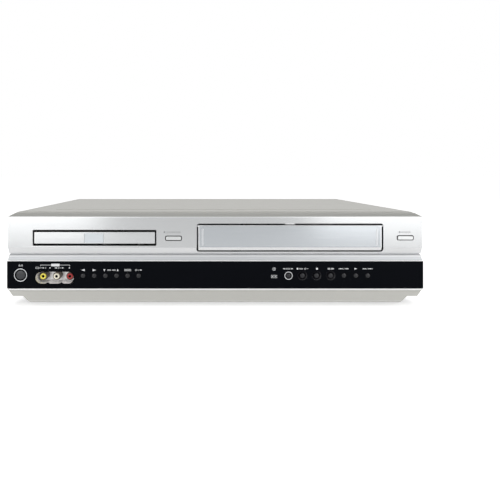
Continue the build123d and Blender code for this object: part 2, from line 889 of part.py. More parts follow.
def cassette_carrier():
    """The basket that takes the cassette: side walls, ledges and a top with a window."""
    outer = carrier_inner + carrier_sheet
    y1 = carrier_front + carrier_length
    room_top = carrier_floor + carrier_room
    basket = block(tape_x - outer, tape_x + outer, carrier_front, y1, room_top, room_top + carrier_sheet)
    basket -= block(tape_x - 50, tape_x + 50, carrier_front + 26, y1 - 26, room_top - 1, room_top + 2)
    for side in (-1, 1):
        xs = sorted((tape_x + side * carrier_inner, tape_x + side * outer))
        basket += block(*xs, carrier_front, y1, carrier_floor - carrier_sheet, room_top + carrier_sheet)
        ledge = sorted((tape_x + side * (carrier_inner - 13), tape_x + side * outer))
        basket += block(*ledge, carrier_front, y1, carrier_floor - carrier_sheet, carrier_floor)
        for y in carrier_pin_y:
            ends = sorted((tape_x + side * (outer - 0.5), tape_x + side * (slide_outer - 0.1)))
            basket += rod_x(y, carrier_pin_z, pin_radius, *ends)
    return basket


def reel(side):
    """A reel table: a disc on its pin, with a hub that fits the cassette's spool."""
    x = tape_x + side * reel_pitch / 2
    low = deck_top + seat_gap
    table = rod_z(x, reel_y, reel_radius, low, low + 3)
    table += rod_z(x, reel_y, 5.0, low, low + 14)
    for i in range(3):
        turn = Pos(x, reel_y, low + 8) * Rot(0, 0, 120 * i)
        table += turn * Pos(5.0, 0, 0) * Box(3.0, 1.6, 10)
    return table - rod_z(x, reel_y, 1.5 + shaft_gap, low - 1, deck_top + 12 + seat_gap)


drum_place = Pos(tape_x, drum_y, deck_top) * Rot(drum_tilt, 0, 0)
drum_low = 12.0
drum_seam = 27.0
drum_high = 45.0
drum_gap = 0.3
drum_shaft = 3.0


def tilted(radius, low, high):
    """A cylinder on the drum's leaning axis."""
    return drum_place * Pos(0, 0, (low + high) / 2) * Cylinder(radius, high - low)


def drum_base():
    """The fixed lower drum on its foot."""
    foot = tilted(drum_radius - 8, -8, drum_low)
    foot -= block(tape_x - 60, tape_x + 60, drum_y - 60, drum_y + 60, 0, deck_top)
    body = foot + tilted(drum_radius, drum_low, drum_seam)
    return body - tilted(drum_shaft + shaft_gap, drum_low + 2, drum_seam + 1)


def head_drum():
    """The upper drum, which turns on its shaft in the lower one."""
    body = tilted(drum_radius, drum_seam + drum_gap, drum_high) - tilted(drum_radius - 6, drum_high - 5, drum_high + 1)
    return body + tilted(drum_shaft, drum_low + 3, drum_high - 3)


def flywheel():
    """The capstan's flywheel under the deck, with the capstan as its shaft."""
    rim = rod_z(capstan_x, capstan_y, flywheel_radius, deck_level - 14, deck_level - edge_gap)
    return rim + rod_z(capstan_x, capstan_y, capstan_radius, deck_level - 1, deck_top + 32)


arm_level = deck_top + 6.0
arm_thick = 2.0


def arm_frame():
    """Across the pinch arm at rest, from its pivot to the roller."""
    return Pos(arm_x, arm_y, 0) * Rot(0, 0, arm_open)


def pinch_arm():
    """The arm on its pivot, with the roller's pin."""
    half = 3.5
    level = arm_level + arm_thick / 2
    bar = arm_frame() * Pos(0, -arm_length / 2, level) * Box(2 * half, arm_length, arm_thick)
    arm = bar + rod_z(arm_x, arm_y, 4.5, deck_top + seat_gap, deck_top + 13)
    arm += rod_z(roller_x, roller_y, half, arm_level, arm_level + arm_thick)
    arm += rod_z(roller_x, roller_y, 1.5, arm_level, arm_level + 18)
    return arm - rod_z(arm_x, arm_y, 2.0 + shaft_gap, deck_top - 1, deck_top + 14)


def pinch_roller():
    low = arm_level + arm_thick + seat_gap
    roller = rod_z(roller_x, roller_y, roller_radius, low, low + 14)
    return roller - rod_z(roller_x, roller_y, 1.5 + shaft_gap, low - 1, low + 15)


# Enclosure

cover_top = height - field_rise
cover_under = cover_top - cover_sheet
cover_front = bezel_back + edge_gap
cover_inside = cover_half - cover_sheet
base_half = cover_inside - 0.2
panel_top = cover_under - 0.2
side_screw_y = [-62.0, 74.0]
side_screw_z = 11.5
rear_screw_x = [-(base_half - 82.5), base_half - 107.5]
screw_radius_side = 1.5
vent_count = 14
vent_pitch = 6.0
vent_half = 1.0
vent_inset = 27.5
vent_rear = panel_inner - vent_inset
vent_bottom = 58.0
vent_top = 80.0
rear_vent_side = 62.5
rear_vent_bottom = 62.0
rear_vent_top = 84.0


def arch(half, top, low, rounding, y0, y1):
    """A block with its two upper long edges rounded."""
    body = block(-half, half, y0, y1, low, top)
    edges = body.edges().filter_by(Axis.Y).group_by(Axis.Z)[-1]
    return fillet(edges, rounding)


def top_cover():
    """The folded sheet over the top and sides, with a raised field and side vents."""
    cover = arch(cover_half, cover_top, cover_bottom, cover_round, cover_front, panel_outer)
    cover -= arch(
        cover_inside, cover_under, cover_bottom - 1, cover_round - cover_sheet, cover_front - 1, panel_outer + 1
    )
    y0 = cover_front + field_front
    y1 = panel_outer - field_rear
    field = block(-field_half, field_half, y0, y1, cover_top - 0.3, height)
    field = chamfer(field.faces().sort_by(Axis.Z)[-1].edges(), field_rise * 0.9)
    cover += field
    for y in side_screw_y:
        cover -= rod_x(y, side_screw_z, screw_radius_side + seat_gap, -cover_half - 1, cover_half + 1)
    for i in range(vent_count):
        y = vent_rear - i * vent_pitch
        cover -= block(-cover_half - 1, cover_half + 1, y - vent_half, y + vent_half, vent_bottom, vent_top)
    return cover


# The boards keep to the left of the tape deck, the power board along the rear
board_left = -(base_half - 7.5)
main_right = tape_x - deck_half - 7.6
main_front = -100.0
main_back = 40.0
power_right = board_left + 144.0
power_back = panel_inner - 6.5
power_front = power_back - 57.0
post_inset = 7.0
standoff_main = [
    (board_left + post_inset, -40.0),
    (board_left + post_inset, main_back - 6),
    (main_right - post_inset, main_front + 10),
    (main_right - post_inset, main_back - 6),
]
standoff_power = [
    (board_left + post_inset, power_front + 6),
    (power_right - post_inset, power_front + 6),
    (board_left + post_inset, power_back - 5),
    (power_right - post_inset, power_back - 5),
]
main_board_box = (board_left, main_right, main_front, main_back)
power_board_box = (board_left, power_right, power_front, power_back)

# The tray's front corners are cut away behind the cut ends of the front panel
corner_half = base_half - 22.5
corner_back = bezel_back + 14.5
corner_top = 9.0


def chassis_base():
    """The bottom tray: a sheet with flanges on its four sides and posts for the boards."""
    floor = block(-base_half, base_half, cover_front, panel_inner - 0.1, foot_height, base_top)
    for side in (-1, 1):
        xs = sorted((side * base_half, side * (base_half - base_sheet)))
        flange = block(*xs, cover_front, panel_inner - 0.1, foot_height, base_top + flange_rise)
        floor += flange
    floor += block(-base_half, base_half, cover_front, cover_front + base_sheet, foot_height, base_top + flange_rise)
    rear = panel_inner - 0.1
    floor += block(-base_half, base_half, rear - base_sheet, rear, foot_height, base_top + flange_rise)
    for side in (-1, 1):
        xs = sorted((side * corner_half, side * (base_half + 1)))
        floor -= block(*xs, cover_front - 1, corner_back, 0, corner_top)
    for x, y in standoff_main + standoff_power:
        floor += rod_z(x, y, 3.0, base_top - 0.5, board_level)
    for y in side_screw_y:
        floor -= rod_x(y, side_screw_z, screw_radius_side + seat_gap, -base_half - 1, base_half + 1)
    for x in rear_screw_x:
        floor -= rod_y(x, side_screw_z, screw_radius_side + seat_gap, rear - 2, rear + 1)
    return floor


def rear_panel():
    """The rear sheet with the holes for its sockets and a field of vents."""
    panel = block(-base_half, base_half, panel_inner, panel_outer, foot_height, panel_top)
    corners = panel.edges().filter_by(Axis.Y).group_by(Axis.Z)[-1]
    panel = fillet(corners, cover_round - cover_sheet)
    for x, z in rear_jack_places():
        panel -= rod_y(x, z, rear_collar_radius + 0.2, panel_inner - 1, panel_outer + 1)
    for x in aerial_x:
        panel -= rod_y(x, aerial_z, aerial_collar_radius + 0.2, panel_inner - 1, panel_outer + 1)
    panel -= block(
        inlet_x - inlet_wide / 2 - seat_gap,
        inlet_x + inlet_wide / 2 + seat_gap,
        panel_inner - 1,
        panel_outer + 1,
        inlet_z - inlet_high / 2 - seat_gap,
        inlet_z + inlet_high / 2 + seat_gap,
    )
    for x in rear_screw_x:
        panel -= rod_y(x, side_screw_z, screw_radius_side + seat_gap, panel_inner - 1, panel_outer + 1)
    for i in range(vent_count):
        x = -(base_half - rear_vent_side) + i * vent_pitch
        ends = (x - vent_half, x + vent_half)
        panel -= block(*ends, panel_inner - 1, panel_outer + 1, rear_vent_bottom, rear_vent_top)
    return panel


def feet():
    """Four round feet under the tray."""
    group = None
    for x in (-foot_x, foot_x):
        for y in (-foot_y, foot_y):
            foot = rod_z(x, y, foot_radius, 0, foot_height)
            foot = chamfer(foot.faces().sort_by(Axis.Z)[0].edges(), 1.0)
            group = foot if group is None else group + foot
    return group


def cover_screws():
    """Two screws in each side and two in the rear."""
    head = 3.2
    group = None
    for side in (-1, 1):
        for y in side_screw_y:
            head_ends = sorted((side * cover_half, side * (cover_half + 1.3)))
            shank_ends = sorted((side * cover_half, side * (cover_half - 6)))
            screw = rod_x(y, side_screw_z, head, *head_ends)
            screw += rod_x(y, side_screw_z, screw_radius_side, *shank_ends)
            group = screw if group is None else group + screw
    for x in rear_screw_x:
        group += rod_y(x, side_screw_z, head, panel_outer, panel_outer + 1.8)
        group += rod_y(x, side_screw_z, screw_radius_side, panel_outer - 6, panel_outer)
    return group


# Boards and sockets

def leg_holes(top):
    """The room that the boards leave for the loader's legs."""
    holes = None
    for side in (-1, 1):
        x = tray_x + side * (loader_inner - 4)
        for y in loader_leg_y:
            hole = rod_z(x, y, loader_leg_radius + 0.5, board_level - 1, top + 1)
            holes = hole if holes is None else holes + hole
    return holes


def main_board():
    """The main board with its chips, capacitors and plugs, round the loader's front legs."""
    x0, x1, y0, y1 = main_board_box
    top = board_level + board_thick
    board = block(x0, x1, y0, y1, board_level, top)
    board -= leg_holes(top)
    chips = ((65, 50, 24, 2.4), (110, 40, 16, 1.8), (105, 80, 12, 1.6), (45, 105, 14, 1.6))
    for right, back, side, high in chips:
        x = x0 + right
        y = y0 + back
        board += block(x - side / 2, x + side / 2, y - side / 2, y + side / 2, top, top + high)
    for i in range(6):
        board += rod_z(x1 - 41 + 6.5 * i, y1 - 20, 2.5, top - 0.3, top + 8)
    for i in range(4):
        x = x0 + 9 + 16 * i
        board += block(x, x + 12, y1 - 12, y1 - 7, top, top + 6)
    return board


def power_board():
    """The power board with its capacitors and heat sink."""
    x0, x1, y0, y1 = power_board_box
    top = board_level + board_thick
    board = block(x0, x1, y0, y1, board_level, top) - leg_holes(top)
    board += rod_z(x0 + 83, y1 - 15, 9.0, top - 0.3, top + 30)
    board += rod_z(x0 + 103, y1 - 13, 5.0, top - 0.3, top + 18)
    board += rod_z(x0 + 117, y1 - 13, 5.0, top - 0.3, top + 18)
    board += block(x0 + 75, x0 + 125, y1 - 37, y1 - 35, top, top + 28)
    for i in range(5):
        x = x0 + 77 + 11 * i
        board += block(x, x + 1.5, y1 - 43, y1 - 36.5, top, top + 28)
    return board


def transformer():
    """The mains transformer on the power board: a core and its winding."""
    top = board_level + board_thick
    x = board_left + 47
    y = power_back - 33
    core = block(x - 14, x + 14, y - 14, y + 14, top, top + 26)
    return core + block(x - 18, x + 18, y - 9, y + 9, top + 5, top + 21)


rear_jack_radius = 4.15
rear_collar_radius = 5.2
collar_proud = 0.8
rear_jack_bore = 1.6
rear_jack_x = -30.0
rear_jack_pitch = 14.0
rear_jack_columns = 5
rear_jack_z = [30.0, 48.0]


def rear_jack_places():
    places = []
    for i in range(rear_jack_columns):
        for z in rear_jack_z:
            places.append((rear_jack_x + i * rear_jack_pitch, z))
    return places


def rear_jacks():
    """The block of round jacks that stand out of the rear panel."""
    back = panel_inner - seat_gap
    x1 = rear_jack_x + (rear_jack_columns - 1) * rear_jack_pitch
    body = block(rear_jack_x - 8, x1 + 8, back - 11, back, rear_jack_z[0] - 8, rear_jack_z[1] + 8)
    for x, z in rear_jack_places():
        body += rod_y(x, z, rear_collar_radius, back - 1, panel_outer + collar_proud)
        body += rod_y(x, z, rear_jack_radius, panel_outer, depth / 2)
    for x, z in rear_jack_places():
        body -= rod_y(x, z, rear_jack_bore, back, depth / 2 + 1)
    return body


aerial_x = [base_half - 60.5, base_half - 34.5]
aerial_z = 44.0
aerial_radius = 4.75
aerial_collar_radius = 5.8


def tuner_module():
    """The screened tuner with its two aerial sockets."""
    back = panel_inner - seat_gap
    ends = (aerial_x[0] - 14, aerial_x[1] + 20)
    body = block(*ends, back - 19, back, aerial_z - 16, aerial_z + 18)
    for x in aerial_x:
        body += rod_y(x, aerial_z, aerial_collar_radius, back - 1, panel_outer + collar_proud)
        body += rod_y(x, aerial_z, aerial_radius, panel_outer, depth / 2)
    for x in aerial_x:
        body -= rod_y(x, aerial_z, 1.5, back, depth / 2 + 1)
    return body


inlet_x = -(base_half - 26.5)
inlet_z = 26.0
inlet_wide = 24.0
inlet_high = 15.0
inlet_deep = 12.0
inlet_pin_reach = 4.3
mouth_wide = 17.0
mouth_high = 8.5


def mains_inlet():
    """The two-pin inlet: a cavity with half-round ends and two pins."""
    y0 = panel_outer - inlet_deep - 2
    body = block(
        inlet_x - inlet_wide / 2,
        inlet_x + inlet_wide / 2,
        y0,
        panel_outer + 1.0,
        inlet_z - inlet_high / 2,
        inlet_z + inlet_high / 2,
    )
    body -= capsule(inlet_x, inlet_z, mouth_wide, mouth_high, panel_outer - inlet_deep + 1, panel_outer + 2)
    for side in (-1, 1):
        x = inlet_x + side * inlet_pin_reach
        body += rod_y(x, inlet_z, 1.2, panel_outer - inlet_deep, panel_outer - 1)
    return body


# Writing

nodes = {
    "top_cover": top_cover,
    "chassis_base": chassis_base,
    "rear_panel": rear_panel,
    "front_bezel": front_bezel,
    "control_window": control_window,
    "av_jack_plate": av_jack_plate,
    "jack_yellow": lambda: front_jack(-1),
    "jack_white": lambda: front_jack(0),
    "jack_red": lambda: front_jack(1),
    "power_ring": power_ring,
    "selector_ring": selector_ring,
    "disc_door": disc_door,
    "disc_tray": disc_tray,
    "loader_frame": loader_frame,
    "tray_gear": tray_gear,
    "spindle_motor": spindle_motor,
    "turntable": turntable,
    "disc_clamp": disc_clamp,
    "guide_rods": guide_rods,
    "pickup_sled": pickup_sled,
    "lead_screw": lead_screw,
    "sled_motor": sled_motor,
    "cassette_door": cassette_door,
    "deck_plate": deck_plate,
    "deck_sides": deck_sides,
    "carrier_slides": carrier_slides,
    "cassette_carrier": cassette_carrier,
    "supply_reel": lambda: reel(-1),
    "takeup_reel": lambda: reel(1),
    "drum_base": drum_base,
    "head_drum": head_drum,
    "flywheel": flywheel,
    "pinch_arm": pinch_arm,
    "pinch_roller": pinch_roller,
    "front_board": front_board,
    "display_tube": display_tube,
    "main_board": main_board,
    "power_board": power_board,
    "transformer": transformer,
    "rear_jacks": rear_jacks,
    "tuner_module": tuner_module,
    "mains_inlet": mains_inlet,
    "feet": feet,
    "cover_screws": cover_screws,
}

os.makedirs("parts", exist_ok=True)
for name, make in nodes.items():
    export_step(make(), f"parts/{name}.step")
for name, (x, z, radius) in round_buttons.items():
    export_step(round_button(x, z, radius), f"parts/{name}.step")
for name, (x, z) in bar_buttons.items():
    export_step(bar_button(x, z), f"parts/{name}.step")
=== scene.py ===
import json
import math

import bpy
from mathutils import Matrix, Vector

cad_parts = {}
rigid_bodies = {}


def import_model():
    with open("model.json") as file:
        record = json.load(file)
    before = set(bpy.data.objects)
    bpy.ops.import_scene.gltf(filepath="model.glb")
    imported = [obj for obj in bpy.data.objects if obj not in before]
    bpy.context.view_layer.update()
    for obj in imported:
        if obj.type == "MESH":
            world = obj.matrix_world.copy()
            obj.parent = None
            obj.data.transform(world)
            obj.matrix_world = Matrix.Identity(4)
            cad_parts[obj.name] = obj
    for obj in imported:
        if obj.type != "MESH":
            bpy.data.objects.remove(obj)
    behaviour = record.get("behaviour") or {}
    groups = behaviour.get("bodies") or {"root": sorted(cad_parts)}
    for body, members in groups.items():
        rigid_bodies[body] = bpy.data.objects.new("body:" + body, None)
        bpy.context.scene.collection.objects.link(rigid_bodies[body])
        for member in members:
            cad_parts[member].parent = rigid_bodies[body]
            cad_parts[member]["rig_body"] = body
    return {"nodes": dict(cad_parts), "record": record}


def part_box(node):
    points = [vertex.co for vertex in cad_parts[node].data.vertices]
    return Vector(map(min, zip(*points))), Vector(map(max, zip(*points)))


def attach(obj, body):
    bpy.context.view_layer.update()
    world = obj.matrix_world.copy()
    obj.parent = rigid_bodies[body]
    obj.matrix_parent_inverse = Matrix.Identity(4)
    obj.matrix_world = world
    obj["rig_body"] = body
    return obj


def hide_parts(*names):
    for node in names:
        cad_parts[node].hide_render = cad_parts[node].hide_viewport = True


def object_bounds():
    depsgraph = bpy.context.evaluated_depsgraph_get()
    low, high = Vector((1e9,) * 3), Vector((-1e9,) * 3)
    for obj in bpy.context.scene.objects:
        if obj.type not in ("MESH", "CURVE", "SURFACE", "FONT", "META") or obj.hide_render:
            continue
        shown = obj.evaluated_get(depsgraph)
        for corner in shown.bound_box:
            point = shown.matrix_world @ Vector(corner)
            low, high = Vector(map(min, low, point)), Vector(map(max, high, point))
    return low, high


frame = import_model()
nodes = frame["nodes"]
cadBounds = [list(corner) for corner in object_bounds()]
mm = 0.001
print("frame loaded", len(nodes), "nodes")


def boxOf(node):
    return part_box(node)


def middleOf(node):
    low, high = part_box(node)
    return (low + high) / 2


# a grain and a broad tone, both on the piece's own coordinates
def newMaterial(name):
    mat = bpy.data.materials.new(name)
    mat.use_nodes = True
    tree = mat.node_tree
    tree.nodes.clear()
    out = tree.nodes.new("ShaderNodeOutputMaterial")
    shader = tree.nodes.new("ShaderNodeBsdfPrincipled")
    tree.links.new(shader.outputs["BSDF"], out.inputs["Surface"])
    coords = tree.nodes.new("ShaderNodeTexCoord")
    mapping = tree.nodes.new("ShaderNodeMapping")
    tree.links.new(coords.outputs["Object"], mapping.inputs["Vector"])
    return mat, tree, shader, mapping


def noiseFor(tree, mapping, scale, detail=3.0):
    noise = tree.nodes.new("ShaderNodeTexNoise")
    noise.inputs["Scale"].default_value = scale
    noise.inputs["Detail"].default_value = detail
    tree.links.new(mapping.outputs["Vector"], noise.inputs["Vector"])
    return noise


def rampFor(tree, source, low, high, lowAt=0.3, highAt=0.7):
    ramp = tree.nodes.new("ShaderNodeValToRGB")
    ramp.color_ramp.elements[0].position = lowAt
    ramp.color_ramp.elements[0].color = (*low, 1)
    ramp.color_ramp.elements[1].position = highAt
    ramp.color_ramp.elements[1].color = (*high, 1)
    tree.links.new(source, ramp.inputs["Fac"])
    return ramp


def bumpFor(tree, shader, height, strength, distance):
    bump = tree.nodes.new("ShaderNodeBump")
    bump.inputs["Strength"].default_value = strength
    bump.inputs["Distance"].default_value = distance
    tree.links.new(height, bump.inputs["Height"])
    tree.links.new(bump.outputs["Normal"], shader.inputs["Normal"])


def tint(colour, factor):
    return tuple(min(1.0, c * factor) for c in colour)


finishes = {}
grainRule = {"broad": 0.05, "broadDetail": 2.0, "smoothest": 0.02, "coatRough": 0.08}


# colour, gloss and relief all carry the finish's own grain; stretch draws it out into streaks: brushing
# on metal, painted reflection on the power button
def surface(name, colour, rough=0.4, metal=0.0, spread=0.05, grain=900.0, stretch=(1, 1, 1),
            bump=0.05, bumpDepth=0.00002, coat=0.0, roughSpread=0.05, specular=0.5):
    mat, tree, shader, mapping = newMaterial(name)
    mapping.inputs["Scale"].default_value = stretch
    fine = noiseFor(tree, mapping, grain)
    ramp = rampFor(tree, fine.outputs["Fac"], tint(colour, 1 - spread), tint(colour, 1 + spread))
    tree.links.new(ramp.outputs["Color"], shader.inputs["Base Color"])
    gloss = tree.nodes.new("ShaderNodeMapRange")
    gloss.inputs["To Min"].default_value = max(grainRule["smoothest"], rough - roughSpread)
    gloss.inputs["To Max"].default_value = min(1.0, rough + roughSpread)
    broad = noiseFor(tree, mapping, grain * grainRule["broad"], grainRule["broadDetail"])
    tree.links.new(broad.outputs["Fac"], gloss.inputs["Value"])
    tree.links.new(gloss.outputs["Result"], shader.inputs["Roughness"])
    shader.inputs["Metallic"].default_value = metal
    shader.inputs["Specular IOR Level"].default_value = specular
    shader.inputs["Coat Weight"].default_value = coat
    shader.inputs["Coat Roughness"].default_value = grainRule["coatRough"]
    bumpFor(tree, shader, fine.outputs["Fac"], bump, bumpDepth)
    finishes[name] = mat


paint = {"grain": 1500, "spread": 0.03, "bump": 0.25, "bumpDepth": 0.00004}
brushed = {"grain": 1400, "spread": 0.03, "bump": 0.05, "stretch": (0.02, 1, 1), "roughSpread": 0.02}
satin = {"rough": 0.4, "metal": 0.3, "spread": 0.012, "grain": 9000, "bump": 0.01}
lacquer = {"metal": 0.75, "spread": 0.012, "grain": 9000, "bump": 0.0}
ink = {"rough": 0.5, "spread": 0.02}
# cover and front moulding; past the cover paint and the silver face, the moulding's tones here are
# painted highlight, painted light and painted shade
surface("coverPaint", (0.437, 0.432, 0.405), rough=0.5, **paint)
surface("bevelPaintedShade", (0.285, 0.285, 0.268), rough=0.45, **paint)
surface("lowerPaintedShade", (0.525, 0.52, 0.488), rough=0.45, **paint)
surface("bottomPaintedLight", (0.61, 0.61, 0.58), rough=0.4, **paint)
surface("bezelSilver", (0.47, 0.478, 0.483), rough=0.22, roughSpread=0.004, **lacquer)
surface("edgePaintedHighlight", (0.56, 0.567, 0.572), rough=0.3, **lacquer)
surface("facetPaintedLight", (0.70, 0.705, 0.71), **satin)
surface("ledgePaintedShade", (0.50, 0.515, 0.53), **satin)
surface("waistPaintedShade", (0.60, 0.61, 0.62), **satin)
surface("paintedHighlightWhite", (0.94, 0.94, 0.94), rough=0.3, spread=0.02, grain=5000, bump=0.01)
# doors
surface("doorSilver", (0.50, 0.51, 0.515), rough=0.2, metal=0.75, **brushed)
surface("flapSilver", (0.415, 0.435, 0.455), rough=0.2, metal=0.75, **brushed)
# painted highlight on the flap's ridges and rim, painted light on its lower band
surface("flapRidgeHighlight", (0.56, 0.575, 0.59), rough=0.3, metal=0.5, **brushed)
surface("flapLowPaintedLight", (0.74, 0.745, 0.75), rough=0.35, metal=0.3, **brushed)
surface("flapRimHighlight", (0.70, 0.71, 0.72), rough=0.3, metal=0.4, **brushed)
surface("badgeFrost", (0.58, 0.615, 0.64), rough=0.5, metal=0.3, spread=0.08, grain=2200)
surface("badgeEdge", (0.40, 0.42, 0.43), rough=0.35, metal=0.4, spread=0.03)
# strip, recess, jacks and buttons
surface("windowBlack", (0.0022, 0.0028, 0.0045), rough=0.12, spread=0.1, grain=600, bump=0.0,
        roughSpread=0.02, specular=0.025)
surface("dishGloss", (0.006, 0.006, 0.008), rough=0.25, spread=0.1, bump=0.0, specular=0.3)
surface("recessGrey", (0.94, 0.925, 0.925), rough=0.4, metal=0.35, spread=0.02)
surface("jackYellow", (0.86, 0.74, 0.09), rough=0.25, spread=0.04)
surface("jackWhite", (0.84, 0.80, 0.66), rough=0.25, spread=0.03)
surface("jackRed", (0.38, 0.02, 0.02), rough=0.25, spread=0.04)
surface("jackGreen", (0.03, 0.28, 0.07), rough=0.25, spread=0.04)
surface("jackBlue", (0.02, 0.07, 0.38), rough=0.25, spread=0.04)
surface("jackOrange", (0.75, 0.20, 0.02), rough=0.25, spread=0.04)
# painted shade inside the front jacks
surface("boreShade", (0.006, 0.005, 0.005), rough=0.8, spread=0.1, specular=0.1)
surface("ringSilver", (0.50, 0.51, 0.52), rough=0.25, metal=0.9, spread=0.04)
surface("ringWhite", (0.62, 0.63, 0.64), rough=0.35, metal=0.3, spread=0.03)
surface("buttonDark", (0.012, 0.0125, 0.015), rough=0.22, spread=0.1, specular=0.3)
# the power button's dark colour, with horizontal streaks that are painted reflection
surface("powerDarkAndSheen", (0.03, 0.032, 0.036), rough=0.3, spread=0.2, specular=0.35, grain=700,
        stretch=(0.1, 1, 1), bump=0.1)
surface("buttonSilver", (0.60, 0.61, 0.61), rough=0.3, metal=0.5, spread=0.02)
# the rest of the outside, and the inside
surface("trayDark", (0.035, 0.035, 0.037), rough=0.5, spread=0.1)
surface("blackPlastic", (0.012, 0.012, 0.012), rough=0.5, spread=0.15, grain=2500, bump=0.2)
surface("whitePlastic", (0.75, 0.75, 0.72), rough=0.4, spread=0.03)
surface("sheetSteel", (0.50, 0.51, 0.51), rough=0.38, metal=0.9, grain=160, bump=0.03)
surface("brightSteel", (0.62, 0.62, 0.62), rough=0.25, metal=1.0, spread=0.04, stretch=(0.1, 1, 1))
# dark steel of the transformer core, also used as painted shade on the front jack barrels
surface("coreSteelAndShade", (0.10, 0.085, 0.07), rough=0.45, metal=0.6, grain=120, stretch=(1, 30, 1))
surface("aluminium", (0.72, 0.72, 0.73), rough=0.22, metal=1.0, grain=200, stretch=(1, 1, 40))
surface("rubber", (0.015, 0.015, 0.015), rough=0.8, spread=0.15, bump=0.3)
surface("board", (0.27, 0.16, 0.06), rough=0.45, spread=0.12, grain=300)
surface("displayGlass", (0.01, 0.014, 0.016), rough=0.08, coat=0.5)
# printing
surface("markWhite", (0.74, 0.75, 0.76), **ink)
surface("markPale", (0.33, 0.335, 0.34), **ink)
surface("markGrey", (0.12, 0.12, 0.125), **ink)

finishOfSlot = {
    "cover_paint": "coverPaint", "plain_steel": "sheetSteel", "bezel_silver": "bezelSilver",
    "window_black": "windowBlack", "recess_grey": "recessGrey", "yellow_plastic": "jackYellow",
    "white_plastic": "whitePlastic", "red_plastic": "jackRed", "ring_silver": "ringSilver",
    "ring_white": "ringWhite", "door_silver": "doorSilver", "button_silver": "buttonDark",
    "tray_grey": "trayDark", "black_plastic": "blackPlastic", "bright_steel": "brightSteel",
    "core_steel": "coreSteelAndShade", "screw_steel": "brightSteel", "aluminium": "aluminium",
    "rubber": "rubber", "board": "board", "display_glass": "displayGlass",
}
finishOfNode = {
    "jack_white": "jackWhite", "open_close_button": "buttonSilver", "eject_button": "buttonSilver",
}


def setFinish(obj, name):
    obj.data.materials.clear()
    obj.data.materials.append(finishes[name])


slotOfNode = {entry["node"]: entry["material_slot"] for entry in frame["record"]["subparts"]}
for name, obj in nodes.items():
    setFinish(obj, finishOfNode.get(name, finishOfSlot[slotOfNode[name]]))
print("finishes set")


def selectOnly(obj):
    bpy.ops.object.select_all(action="DESELECT")
    obj.select_set(True)
    bpy.context.view_layer.objects.active = obj


def applyModifier(obj, kind, **settings):
    selectOnly(obj)
    mod = obj.modifiers.new(kind.lower(), kind)
    for key, value in settings.items():
        setattr(mod, key, value)
    bpy.ops.object.modifier_apply(modifier=mod.name)


# puts the object's place and turn into its mesh
def settle(obj):
    selectOnly(obj)
    bpy.ops.object.transform_apply(location=True, rotation=True, scale=True)


# rounded edges smooth, flat faces flat
def smoothShade(obj, degrees=35, weighted=True):
    selectOnly(obj)
    bpy.ops.object.shade_smooth_by_angle(angle=math.radians(degrees))
    if weighted:
        applyModifier(obj, "WEIGHTED_NORMAL", keep_sharp=True)


# selects points or edges by place, faces by middle and normal, and leaves edit mode on
def selectWhere(obj, kind, test):
    selectOnly(obj)
    bpy.ops.object.mode_set(mode="EDIT")
    bpy.ops.mesh.select_mode(type=kind)
    bpy.ops.mesh.select_all(action="DESELECT")
    bpy.ops.object.mode_set(mode="OBJECT")
    mesh = obj.data
    if kind == "VERT":
        for vertex in mesh.vertices:
            vertex.select = test(vertex.co)
    elif kind == "EDGE":
        for edge in mesh.edges:
            edge.select = all(test(mesh.vertices[i].co) for i in edge.vertices)
    else:
        for face in mesh.polygons:
            face.select = test(face.center, face.normal)
    bpy.ops.object.mode_set(mode="EDIT")


def selectAll(obj):
    selectOnly(obj)
    bpy.ops.object.mode_set(mode="EDIT")
    bpy.ops.mesh.select_mode(type="FACE")
    bpy.ops.mesh.select_all(action="SELECT")


def leaveEdit():
    bpy.ops.object.mode_set(mode="OBJECT")


# cuts the faces along a plane and keeps both sides
def cutAcross(obj, place, way):
    selectAll(obj)
    bpy.ops.mesh.bisect(plane_co=place, plane_no=way)
    leaveEdit()


def finishPiece(obj, name, finish, body, replaced=()):
    obj.name = name
    obj.data.name = name
    setFinish(obj, finish)
    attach(obj, body)
    if replaced:
        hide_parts(*replaced)
    return obj


# gives the faces that pass the test another finish
def repaint(obj, finish, test):
    index = len(obj.data.materials)
    obj.data.materials.append(finishes[finish])
    for face in obj.data.polygons:
        if test(face.center, face.normal):
            face.material_index = index


# how close two points of a CAD mesh are one, and how flat two of its faces are one
merging = {"distance": 0.000002, "angle": 1.0}


def mergedCopy(node):
    source = nodes[node]
    obj = bpy.data.objects.new(node + "Copy", source.data.copy())
    bpy.context.scene.collection.objects.link(obj)
    selectOnly(obj)
    if obj.data.has_custom_normals:
        bpy.ops.mesh.customdata_custom_splitnormals_clear()
    selectAll(obj)
    bpy.ops.mesh.remove_doubles(threshold=merging["distance"])
    bpy.ops.mesh.dissolve_limited(angle_limit=math.radians(merging["angle"]))
    leaveEdit()
    return obj


def easeEdges(obj, rounding, segments=2, angle=35):
    applyModifier(obj, "BEVEL", width=rounding * mm, segments=segments, limit_method="ANGLE",
                  angle_limit=math.radians(angle), use_clamp_overlap=False, harden_normals=False)


# draws a piece in all round, seen from the front, so that the dark gap round it shows
def drawIn(obj, node, gap):
    low, high = boxOf(node)
    selectAll(obj)
    bpy.ops.transform.resize(
        value=(1 - 2 * gap * mm / (high.x - low.x), 1, 1 - 2 * gap * mm / (high.z - low.z)),
        center_override=middleOf(node),
    )
    leaveEdit()


def dressedCopy(node, name, finish, rounding):
    obj = mergedCopy(node)
    easeEdges(obj, rounding)
    smoothShade(obj)
    return finishPiece(obj, name, finish, nodes[node]["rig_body"], (node,))


def joinAll(pieces):
    bpy.ops.object.select_all(action="DESELECT")
    for piece in pieces:
        piece.select_set(True)
    bpy.context.view_layer.objects.active = pieces[0]
    if len(pieces) > 1:
        bpy.ops.object.join()
    return pieces[0]


def pointOutwards(obj):
    selectAll(obj)
    bpy.ops.mesh.normals_make_consistent(inside=False)
    leaveEdit()


